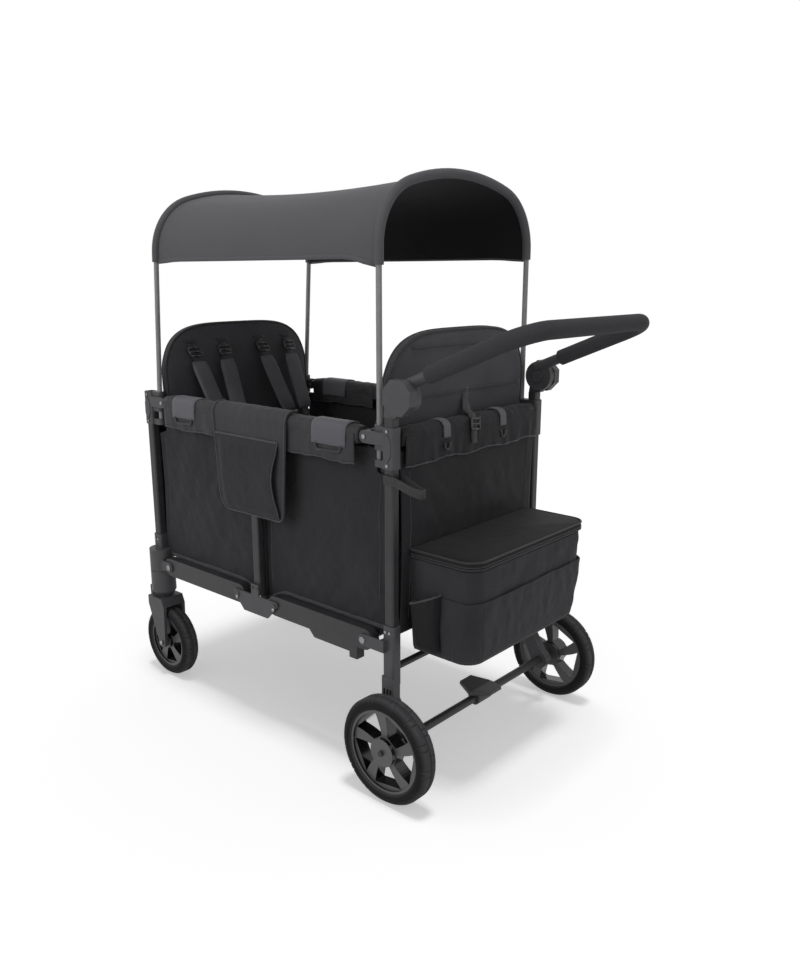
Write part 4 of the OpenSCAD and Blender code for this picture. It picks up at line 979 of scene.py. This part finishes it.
def make_harness(end, sign):
    straps, pads, buckles, slots = Shape(), Shape(), Shape(), Shape()
    for y in HARNESS_Y:
        child = copysign(CHILD_Y, y)
        face = seat_face(end, y, SLOT_Z)
        low = Vector((sign * BUCKLE_X, child + 0.25 * (y - child), BUCKLE_Z))
        start = Vector(seat_point(sign, face - 0.004, y, SLOT_Z))
        knee = Vector(seat_point(sign, face + 0.006, y, SLOT_Z - 0.014))
        run = low - knee

        def sag(t):
            return knee + run * t - UP * (STRAP_SAG * swell(t))
        straps.ribbon([start, start.lerp(knee, 0.6)] + [sag(t) for t in steps(0, 1, 24)], *WEB, ACROSS)
        normal = run.cross(ACROSS).normalized() * -sign
        lift = Vector((sign * -0.001, 0, 0.003))
        shoulder_pad(pads, [sag(t) + lift for t in steps(*SHOULDER_SPAN, 22)], normal)
        slider_frame(buckles, knee + run * SLIDER_AT, run.normalized(), normal)
        line = [seat_point(sign, face + 0.0012, y + dy, SLOT_Z) for dy in steps(-SLOT_W / 2, SLOT_W / 2, 4)]
        slots.ribbon(line, *SLOT_TAPE, UP)
    for child in (-CHILD_Y, CHILD_Y):
        base = Vector((sign * BUCKLE_X, child, BUCKLE_Z + 0.002))
        rows = []
        for dz, w, d in BUCKLE_RINGS:
            rows.append([base + Vector((d * c, w * s, dz)) for c, s in
                         (square_round(turn, 0.6) for turn in circle(24))])
        buckles.solid(rows)
        crotch = [base + Vector((sign * -t, 0, -0.018 * smooth(t / 0.05))) for t in steps(0, 0.07, 8)]
        straps.ribbon(crotch, *WEB, ACROSS)
    made = [(straps.build(f"harness_straps_{end}", dark_tape), "harness_webbing"),
            (pads.build(f"shoulder_pads_{end}", shoulder_fabric), "harness_webbing"),
            (buckles.build(f"harness_buckles_{end}", dark_plastic), "moulded_plastic")]
    for piece, slot in made:
        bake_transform(piece)
    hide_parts(f"{end}_harness")
    slots.put_on(f"harness_slots_{end}", piping, f"{end}_end", slot="seat_fabric")


# Basket
BASKET_FRONT = 0.4505
BASKET_BACK = 0.6262
BASKET_LOW = 0.303
BASKET_HIGH = 0.5228
BASKET_HALF = 0.226
BASKET_CORNER = 0.040
BAG_T = 0.004
BAND_START = 0.535
BAND_LOW = 0.312
BAND_TOP = 0.449
BAND_HEM = (0.007, 0.0030)
POCKET_SEAMS = (8, 22, 34, 62, 74)  # points of the basket's ring
POCKET_SEAM_R = 0.0016
POUCH_X = 0.503
POUCH_SIDE = -BASKET_HALF + 0.006
POUCH_LOW = 0.322
POUCH_HIGH = 0.442
POUCH_SLANT = 0.017
POUCH_RIM_R = 0.0024
LID_FRONT = 0.4525
LID_TOP = 0.545
LID_DEPTH = 0.0215
LID_LOW = LID_TOP - LID_DEPTH
LID_MIDDLE = (LID_FRONT + BASKET_BACK) / 2
LID_CROWN = 0.0085
LID_RIM = ((-0.004, 0.5, 0.0), (-0.004, 0.99, 0.0), (0.0005, 1.0, 0.003), (0.0028, 1.0, 0.009),
           (0.0028, 1.0, 0.014), (0.0015, 1.0, LID_DEPTH - 0.003), (-0.0015, 0.998, LID_DEPTH - 0.0002))
LID_RINGS = (0.97, 0.9, 0.75, 0.55, 0.35, 0.15)
LID_ZIPS = ((LID_LOW + 0.0045, 0.0018), (LID_LOW + 0.0100, 0.0016), (LID_TOP - 0.0012, 0.0022))


def basket_ring(front, grow):
    """Outline (x, y) of the basket from its front left corner round the back to its front right."""
    back, half, r = BASKET_BACK + grow, BASKET_HALF + grow, BASKET_CORNER
    left = [(x, half) for x in steps(front, back - r, 8)[:-1]]
    left += [(back - r + r * sin(q), half - r + r * cos(q)) for q in steps(0, pi / 2, 12)]
    rear = [(back, y) for y in steps(half - r, -half + r, 40)[1:-1]]
    return left + rear + [(x, -y) for x, y in reversed(left)]


def pushed(x, y, z, push):
    """A point of the basket moved out from the middle of its front by a factor."""
    return (between(BASKET_FRONT, x, push), y * push, z)


def bag_grow(z):
    """How far the bag's wall stands out at a height: it narrows downwards and is drawn in at its bottom."""
    t = share_of(z, BASKET_LOW, BASKET_HIGH)
    return 0.0035 * swell(t) - 0.012 * (1 - t) - 0.003 * (1 - smooth(t / 0.05)) - 0.0015


def bag_wrinkle(x, y, z, amount):
    near_top = smooth((z - 0.47) / 0.04)
    tight = 0.0028 * near_top * ripple((x + y) / 0.016, y / 0.02, z / 0.05)
    return amount * crumple((x + y, y - z * 0.5, z), 0.07, (0.9, 0.9, 0.7)) + tight


def make_bag():
    """The bag itself, with its lining."""
    rows = []
    for z in steps(BASKET_LOW, BASKET_HIGH, 44):
        off_edge = smooth(min(z - BASKET_LOW, BASKET_HIGH - z) / 0.02)
        row = []
        for x, y in basket_ring(BASKET_FRONT, bag_grow(z)):
            free = smooth((x - BASKET_FRONT) / 0.03) * off_edge
            row.append(pushed(x, y, z, 1 + free * bag_wrinkle(x, y, z, 0.0044) / 0.2))
        rows.append(row)

    def lining(x, y, z):
        inset = BAG_T * (x > BASKET_FRONT + 0.03)
        held = min(max(x, BASKET_FRONT + BAG_T), BASKET_BACK)
        return (held - inset, y * 0.984, max(z, BASKET_LOW + BAG_T))
    inner = [[lining(*p) for p in row] for row in reversed(rows)]
    Shape().solid(rows + inner).put_on("basket_bag", lit_bag_fabric, "rear_end", "basket_shell")


def make_basket_pockets():
    """The band of pockets round the bag, with its gaping upper edge and its seams."""
    rows = []
    for z in steps(BAND_LOW, BAND_TOP, 26):
        t = share_of(z, BAND_LOW, BAND_TOP)
        row = []
        ring = basket_ring(BAND_START, bag_grow(z) + 0.0032)
        for i, (x, y) in enumerate(ring):
            away = min(abs(i - s) for s in (0, *POCKET_SEAMS, len(ring) - 1))
            gape = 0.0018 * smooth((t - 0.25) / 0.75) * smooth(away / 7)
            wrinkle = smooth(t / 0.3) * bag_wrinkle(x, y, z + 0.7, 0.0018)
            dip = 0.0012 * smooth((t - 0.5) / 0.5) * smooth(away / 8)
            row.append(pushed(x, y, z - dip, 1 + (gape + wrinkle) / 0.22))
        rows.append(row)
    Shape().grid(rows).put_on("basket_pocket_band", lit_bag_fabric, "rear_end", thickness=COVER_T)
    hem = Shape().ribbon(rows[-1], *BAND_HEM, UP)
    hem.put_on("basket_pocket_hem", lit_bag_fabric, "rear_end")
    seams = Shape()
    for place in POCKET_SEAMS:
        seams.tube([row[place] for row in rows], POCKET_SEAM_R)
    seams.put_on("basket_pocket_seams", piping, "rear_end")


def make_bottle_pouch():
    """A pouch for a bottle on the basket's side, wider and slanting at its open mouth."""
    outer = []
    for t in steps(0, 1, 24):
        z = between(POUCH_LOW, POUCH_HIGH, t)
        depth = 0.026 + 0.014 * t - 0.008 * (1 - smooth(t / 0.12))
        half = 0.029 + 0.0095 * smooth(t)
        row = []
        for turn in steps(0, pi, 28):
            u, v = square_round(turn, 0.6)
            pleat = 0.0012 * sin(turn * 11) * smooth((t - 0.5) / 0.5)
            y = POUCH_SIDE - (depth + pleat) * v + 0.004 * t
            row.append((POUCH_X + half * u, y, z + POUCH_SLANT * u * t))
        outer.append(row)

    def lining(x, y, z):
        return (between(POUCH_X, x, 0.93), between(POUCH_SIDE, y, 0.90), max(z, POUCH_LOW + 0.003))
    inner = [[lining(*p) for p in row] for row in reversed(outer)]
    pouch = Shape().grid(outer + inner)
    pouch.faces.append(tuple(range(len(outer[0]))))
    # the pouch takes the lid's cloth, painted darker as shade
    pouch.put_on("bottle_pouch", shaded_lid_fabric, "rear_end")
    Shape().tube(outer[-1], POUCH_RIM_R, 8).put_on("bottle_pouch_rim", binding, "rear_end")


def make_basket_lid():
    def ring(grow, share, z):
        row = []
        for x, y in basket_ring(LID_FRONT, grow):
            lift = 0.0 if share > 0.98 else 0.0014 * crumple((x * share, y * share, 5.0), 0.1)
            row.append((between(LID_MIDDLE, x, share), y * share, z + lift))
        return row
    rows = [ring(grow, share, LID_LOW + rise) for grow, share, rise in LID_RIM]
    rows += [ring(-0.0015, share, LID_TOP + LID_CROWN * (1 - share ** 2)) for share in LID_RINGS]
    Shape().solid(rows).put_on("basket_lid_pad", shaded_lid_fabric, "lid", "basket_lid")
    zips = Shape()
    for z, radius in LID_ZIPS:
        zips.tube([(x, y, z) for x, y in basket_ring(LID_FRONT + 0.004, 0.0024)], radius)
    zips.put_on("basket_zip", dark_tape, "lid")


# Organiser
POCKET_LOW = 0.556
POCKET_OUT = 0.0285
POCKET_LEFT = (-0.106, -0.125)  # at the bottom and at the top
POCKET_RIGHT = (0.124, 0.140)
POCKET_R = (0.034, 0.018)
POCKET_T = 0.0024
PANEL_TOP = 0.745
PANEL_RIGHT = 0.1135
PANEL_GAP = (0.578, 0.723)
PANEL_OPEN = 0.013
PANEL_HEM = (0.0050, 0.0022)
PANEL_EDGE_R = 0.0014
BORDER_TAPE = (0.0070, 0.0042)


def pocket_ends(z):
    """Left and right ends of the organiser at a height, with round lower corners."""
    t = clamp(share_of(z, POCKET_LOW, PAD_Z))
    ends = []
    for (low, high), r, way in ((POCKET_LEFT, POCKET_R[0], 1), (POCKET_RIGHT, POCKET_R[1], -1)):
        drop = max(0.0, POCKET_LOW + r - z)
        ends.append(between(low, high, t) + way * (r - sqrt(max(0.0, r * r - drop * drop))))
    return ends


def pocket_lines():
    """Levels of the organiser (out, z) from its bottom up and over the padded roll."""
    levels = [(POCKET_OUT, between(POCKET_LOW, PAD_Z, t ** 1.3)) for t in steps(0, 1, 50)]
    for turn in steps(0, radians(100), 12)[1:]:
        a, b = square_round(turn, ROLL_POWER)
        levels.append((POCKET_OUT * a, PAD_Z + (PAD_HALF_H + 0.0042) * b))
    return levels


def pocket_skin(s, out, z, lift=POCKET_T):
    """A point of the organiser's cloth, a lift outside the lining."""
    x = between(*pocket_ends(z), s)
    folds = 0.0016 * crumple((x, 9.0, z + 0.4 * x), 0.055)
    folds += 0.0010 * ripple(x / 0.02, 4.0, z / 0.12)
    puff = lift + folds * inside(s, 0.08) if lift else 0.0
    rise = 1.0 - smooth((z - PAD_Z) / 0.02)
    return (x, -(POST_Y + out + puff * rise), z + puff * (1 - rise))


def panel_point(s, z):
    """A point of the pocket's front panel, whose right edge stands open."""
    gap = swell(share_of(z, *PANEL_GAP))
    x = between(pocket_ends(z)[0] + 0.004, PANEL_RIGHT - PANEL_OPEN * gap, s)
    level = share_of(z, POCKET_LOW, PANEL_TOP)
    rim = smooth(level / 0.10) * smooth((1 - level) / 0.12)
    puff = 0.0030 + 0.0055 * smooth(s / 0.12) * rim + 0.0065 * gap * smooth((s - 0.55) / 0.45)
    puff += 0.0014 * crumple((x, 2.0, z + 0.5 * x), 0.06) * rim
    return (x, -(POST_Y + POCKET_OUT + 0.0012 + puff), z)


def make_organiser():
    levels = pocket_lines()
    ss = steps(0, 1, 50)
    rows = []
    for out, z in levels:
        back = [pocket_skin(s, out, z, 0.0) for s in reversed(ss)]
        rows.append([pocket_skin(s, out, z) for s in ss] + back)
    Shape().solid(rows).put_on("organiser_pocket", flap_fabric, "centre", "side_pocket")
    zs = steps(POCKET_LOW + 0.004, PANEL_TOP, 50)
    panel = Shape().grid([[panel_point(s, z) for s in steps(0, 1, 40)] for z in zs])
    panel.put_on("organiser_panel", tub_fabric, "centre", thickness=CLOTH_T)
    trim = Shape()
    border = [pocket_skin(0.0, out, z) for out, z in reversed(levels)]
    border += [pocket_skin(s, *levels[0]) for s in ss[1:-1]]
    border += [pocket_skin(1.0, out, z) for out, z in levels]
    trim.ribbon(border, *BORDER_TAPE, ACROSS)
    trim.ribbon([panel_point(s, PANEL_TOP) for s in steps(0.0, 1.0, 30)], *PANEL_HEM, UP)
    trim.tube([panel_point(1.0, z) for z in zs], PANEL_EDGE_R)
    trim.put_on("organiser_binding", binding, "centre")


# Straps on the rear end
LADDER_X = POST_X + PAD_HALF_W + 0.0055
LADDER_Y = -0.018
LADDER_PATH = ((0.4165, 0.03, 0.885), (0.4215, 0.02, 0.846), (0.436, 0.008, 0.822), (0.455, 0.0, 0.817),
               (LADDER_X, -0.004, 0.800), (LADDER_X + 0.001, -0.006, 0.778),
               (LADDER_X + 0.0015, -0.004, 0.750))
LADDER_TAPE = (0.020, 0.0018)
LADDER_ENDS = (0.810, 0.779)
LADDER_BARS = (0.806, 0.794, 0.782)
LADDER_EDGES = (LADDER_Y - 0.018, LADDER_Y + 0.012)
LADDER_BAR_R = 0.0028
HOLD_Z = 0.706
HOLD_REACH = 0.088
HOLD_BACK = 0.0162
HOLD_HALF_W = 0.0165
HOLD_TAPE = (0.019, 0.002)


def make_ladder_strap():
    """A short tape over the rear end's roll with a ladder buckle."""
    path = [(x, LADDER_Y + y, z) for x, y, z in LADDER_PATH]
    tape = Shape().ribbon(path, *LADDER_TAPE, ACROSS + UP * 0.2)
    tape.put_on("ladder_strap", dark_tape, "rear_end", slot="harness_webbing")
    buckle = Shape()
    x = LADDER_X + 0.003
    near, far = LADDER_EDGES
    for z in LADDER_BARS:
        buckle.tube([(x, near, z + 0.002), (x, far, z)], LADDER_BAR_R, 8)
    for y in LADDER_EDGES:
        buckle.tube([(x, y, z) for z in LADDER_ENDS], LADDER_BAR_R, 8)
    buckle.put_on("ladder_buckle", dark_plastic, "rear_end", slot="moulded_plastic")


def make_hold_strap():
    """A loop of tape round the near rear post."""
    path = []
    for turn in circle(48):
        u, v = square_round(turn, 0.7)
        reach = HOLD_BACK if u < 0 else HOLD_REACH
        path.append((POST_X + 0.002 + reach * u, -POST_Y + HOLD_HALF_W * v * (1 - 0.35 * max(0, u)),
                     HOLD_Z - 0.020 * smooth(u)))
    loop = Shape().ribbon(path, *HOLD_TAPE, UP, closed=True)
    loop.put_on("hold_strap", dark_tape, "rear_end", slot="harness_webbing")


# Tyres
TREAD_BLOCKS = 13
TREAD_DEPTH = 0.0022
TREAD_CUTS = (0.72, 0.97)
TREAD_CUT_W = 0.05
TREAD_RINGS = (-0.5, -0.44, -0.4, -0.08, -0.05, 0.05, 0.08, 0.4, 0.44, 0.5)
TREAD_INSET = 0.0125
TYRE_DEPTH = 0.026


def tyre_section(radius, half):
    """Outline (r, y) of a tyre, and the first and last of its points that the tread's cuts reach."""
    seat = radius - TYRE_DEPTH
    wall = [(seat, -half + 0.007), (seat + 0.002, -half + 0.002), (seat + 0.006, -half + 0.0006),
            (seat + 0.0085, -half - 0.0004), (seat + 0.011, -half + 0.0006),
            (radius - 0.012, -half + 0.0012), (radius - 0.006, -half + 0.0040),
            (radius - 0.0016, -half + 0.0095)]
    crown = [(radius, share * 2 * (half - TREAD_INSET)) for share in TREAD_RINGS]
    far_wall = [(r, -y) for r, y in reversed(wall)]
    bed = [(seat, 0.3 * half), (seat, -0.3 * half)]
    return wall + crown + far_wall + bed, len(wall) - 3, len(wall) + len(crown) + 2


def tread_shares():
    """Places along one tread block that have a ring of points: even ones, and the edges of its cuts."""
    edges = {cut + way * TREAD_CUT_W / part for cut in TREAD_CUTS for way in (-1, 1) for part in (2, 3)}
    return sorted({k / 10 for k in range(10)} | edges)


def make_tyre(name, body):
    low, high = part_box(name)
    middle = (low + high) / 2
    half = (high.y - low.y) / 2
    section, first, last = tyre_section((high.z - low.z) / 2, half)
    rows = []
    for block in range(TREAD_BLOCKS):
        for share in tread_shares():
            cut = any(abs(share - c) < TREAD_CUT_W * 0.4 for c in TREAD_CUTS)
            row = []
            for i, (r, y) in enumerate(section):
                on_tread = first <= i <= last
                shift = 0.5 if on_tread and y > 0 else 0.0
                turn = tau * (block + share + shift) / TREAD_BLOCKS
                depth = TREAD_DEPTH if on_tread and (cut or abs(y) < 0.06 * half) else 0.0
                row.append((middle.x + (r - depth) * cos(turn), middle.y + y,
                            middle.z + (r - depth) * sin(turn)))
            rows.append(row)
    rows.append(rows[0])
    tyre = Shape().grid(rows, wrap=True)
    tyre.put_on(name + "_tread", tyre_rubber, body, name, slot="tyre_rubber")


def make_tyres():
    for end in ("front", "rear"):
        for hand, _ in HANDS:
            make_tyre(f"{end}_tyre_{hand}", f"{end}_wheel_{hand}")


# Steel caps and washers
CASTER_X = -0.434
CASTER_Y = 0.275
FRONT_AXLE_X = -0.409
FRONT_AXLE_Z = 0.100
FORK_HALF = 0.0395
WASHER_R = 0.0165
WASHER_Z = 0.2332
HINGE_PIN_X = 0.070
HINGE_PIN_Z = 0.322
HINGE_FACE = 0.2988
WASHER_WIRE_R = 0.0020
BOLT_CAP = (0.0065, 0.0020)
RIVET_CAP = (0.0048, 0.0014)
CAP_RINGS = ((1.0, -0.3), (1.0, 0.35), (0.82, 0.75), (0.5, 0.95), (0.15, 1.0))


def steel_cap(shape, centre, way, radius, height):
    """A domed cap on a face that looks along Y."""
    x, y, z = centre
    rows = []
    for share, rise in CAP_RINGS:
        r = radius * share
        rows.append([(x + r * cos(q), y + way * height * rise, z + r * sin(q)) for q in circle(24)])
    shape.solid(rows)


def make_steel_trim():
    rivets = Shape()
    for hand, side in HANDS:
        trim = Shape()
        y = side * CASTER_Y
        for way in (-1, 1):
            steel_cap(trim, (FRONT_AXLE_X, y + way * FORK_HALF, FRONT_AXLE_Z), way, *BOLT_CAP)
            steel_cap(rivets, (way * HINGE_PIN_X, side * HINGE_FACE, HINGE_PIN_Z), side, *RIVET_CAP)
        washer = [(CASTER_X + WASHER_R * cos(q), y + WASHER_R * sin(q), WASHER_Z) for q in circle(40)]
        trim.tube(washer, WASHER_WIRE_R, 8, closed=True)
        trim.put_on(f"caster_trim_{hand}", steel, f"caster_{hand}", slot="rivet_steel")
    rivets.put_on("hinge_rivets", steel, "centre", slot="rivet_steel")


# Stage
CAMERA_AT = (1.6221, -1.5953, 1.1235)
CAMERA_YAW = 41.2307
CAMERA_DOWN = 13.8776
FOCAL_PX = 867.07
PHOTO_H = 977
SENSOR_MM = 36
FLOOR_HALF = 14.0
FLOOR_GLOW = 0.42
FLOOR_TONE = 0.95
AMBIENT = 0.30
# Name, turns in degrees, power, spread in degrees, and whether the floor is lit
LAMPS = (("top", (6, 0, 80), 1.1, 12, True), ("key", (72, 0, -12), 1.5, 50, False),
         ("fill", (72, 0, 78), 0.75, 60, False))


def make_camera():
    data = bpy.data.cameras.new("camera")
    data.sensor_width = SENSOR_MM
    data.lens = FOCAL_PX / PHOTO_H * SENSOR_MM
    camera = bpy.data.objects.new("camera", data)
    camera.location = CAMERA_AT
    camera.rotation_euler = (radians(90 - CAMERA_DOWN), 0, radians(CAMERA_YAW))
    bpy.context.collection.objects.link(camera)
    bpy.context.scene.camera = camera


def make_floor():
    look = Look("studio_floor")
    look.tree.nodes.clear()
    matte = look.add("BsdfDiffuse", {"Color": (*shade(WHITE, FLOOR_TONE), 1)})
    strength = look.calculate("MULTIPLY", look.seen_directly(), FLOOR_GLOW)
    glow = look.add("Emission", {"Strength": strength})
    both = look.add("AddShader", {0: matte.outputs[0], 1: glow.outputs[0]})
    look.add("OutputMaterial", {"Surface": both.outputs[0]})
    mesh = bpy.data.meshes.new("studio_floor")
    corners = [(x * FLOOR_HALF, y * FLOOR_HALF, 0) for x, y in ((-1, -1), (1, -1), (1, 1), (-1, 1))]
    mesh.from_pydata(corners, [], [(0, 1, 2, 3)])
    mesh.materials.append(look.material)
    floor = bpy.data.objects.new("studio_floor", mesh)
    bpy.context.collection.objects.link(floor)
    return floor


def make_light(floor):
    """A soft light from above that throws the shadow, and two that model the sides but skip the floor."""
    world = bpy.data.worlds.new("studio")
    bpy.context.scene.world = world
    world.use_nodes = True
    sky = Nodes(world.node_tree)
    strength = sky.remap(sky.seen_directly(), AMBIENT, 1.0)
    sky.set(sky.tree.nodes["Background"], {"Strength": strength, "Color": (*WHITE, 1)})
    skipped = bpy.data.collections.new("unlit_by_side_lamps")
    skipped.objects.link(floor)
    for row in skipped.collection_objects:
        row.light_linking.link_state = "EXCLUDE"
    for name, angles, power, spread, on_floor in LAMPS:
        data = bpy.data.lights.new(name, "SUN")
        data.energy = power
        data.angle = radians(spread)
        lamp = bpy.data.objects.new(name, data)
        lamp.rotation_euler = [radians(a) for a in angles]
        bpy.context.collection.objects.link(lamp)
        if not on_floor:
            lamp.light_linking.receiver_collection = skipped


finish_solids()
make_canopy()
make_side_covers()
make_end_covers()
make_centre_covers()
for end_name, end_sign in ENDS:
    for hand_name, hand_sign in HANDS:
        make_side_wall(end_name, end_sign, hand_name, hand_sign)
for end_name, end_sign in ENDS:
    make_end_wall(end_name, end_sign)
for end_name, end_sign in ENDS:
    make_seat_back(end_name, end_sign)
    make_seat_pan(end_name, end_sign)
    make_harness(end_name, end_sign)
make_bag()
make_basket_pockets()
make_bottle_pouch()
make_basket_lid()
make_organiser()
make_ladder_strap()
make_hold_strap()
make_tyres()
make_steel_trim()
make_camera()
make_light(make_floor())
bpy.context.scene.view_settings.view_transform = "Standard"
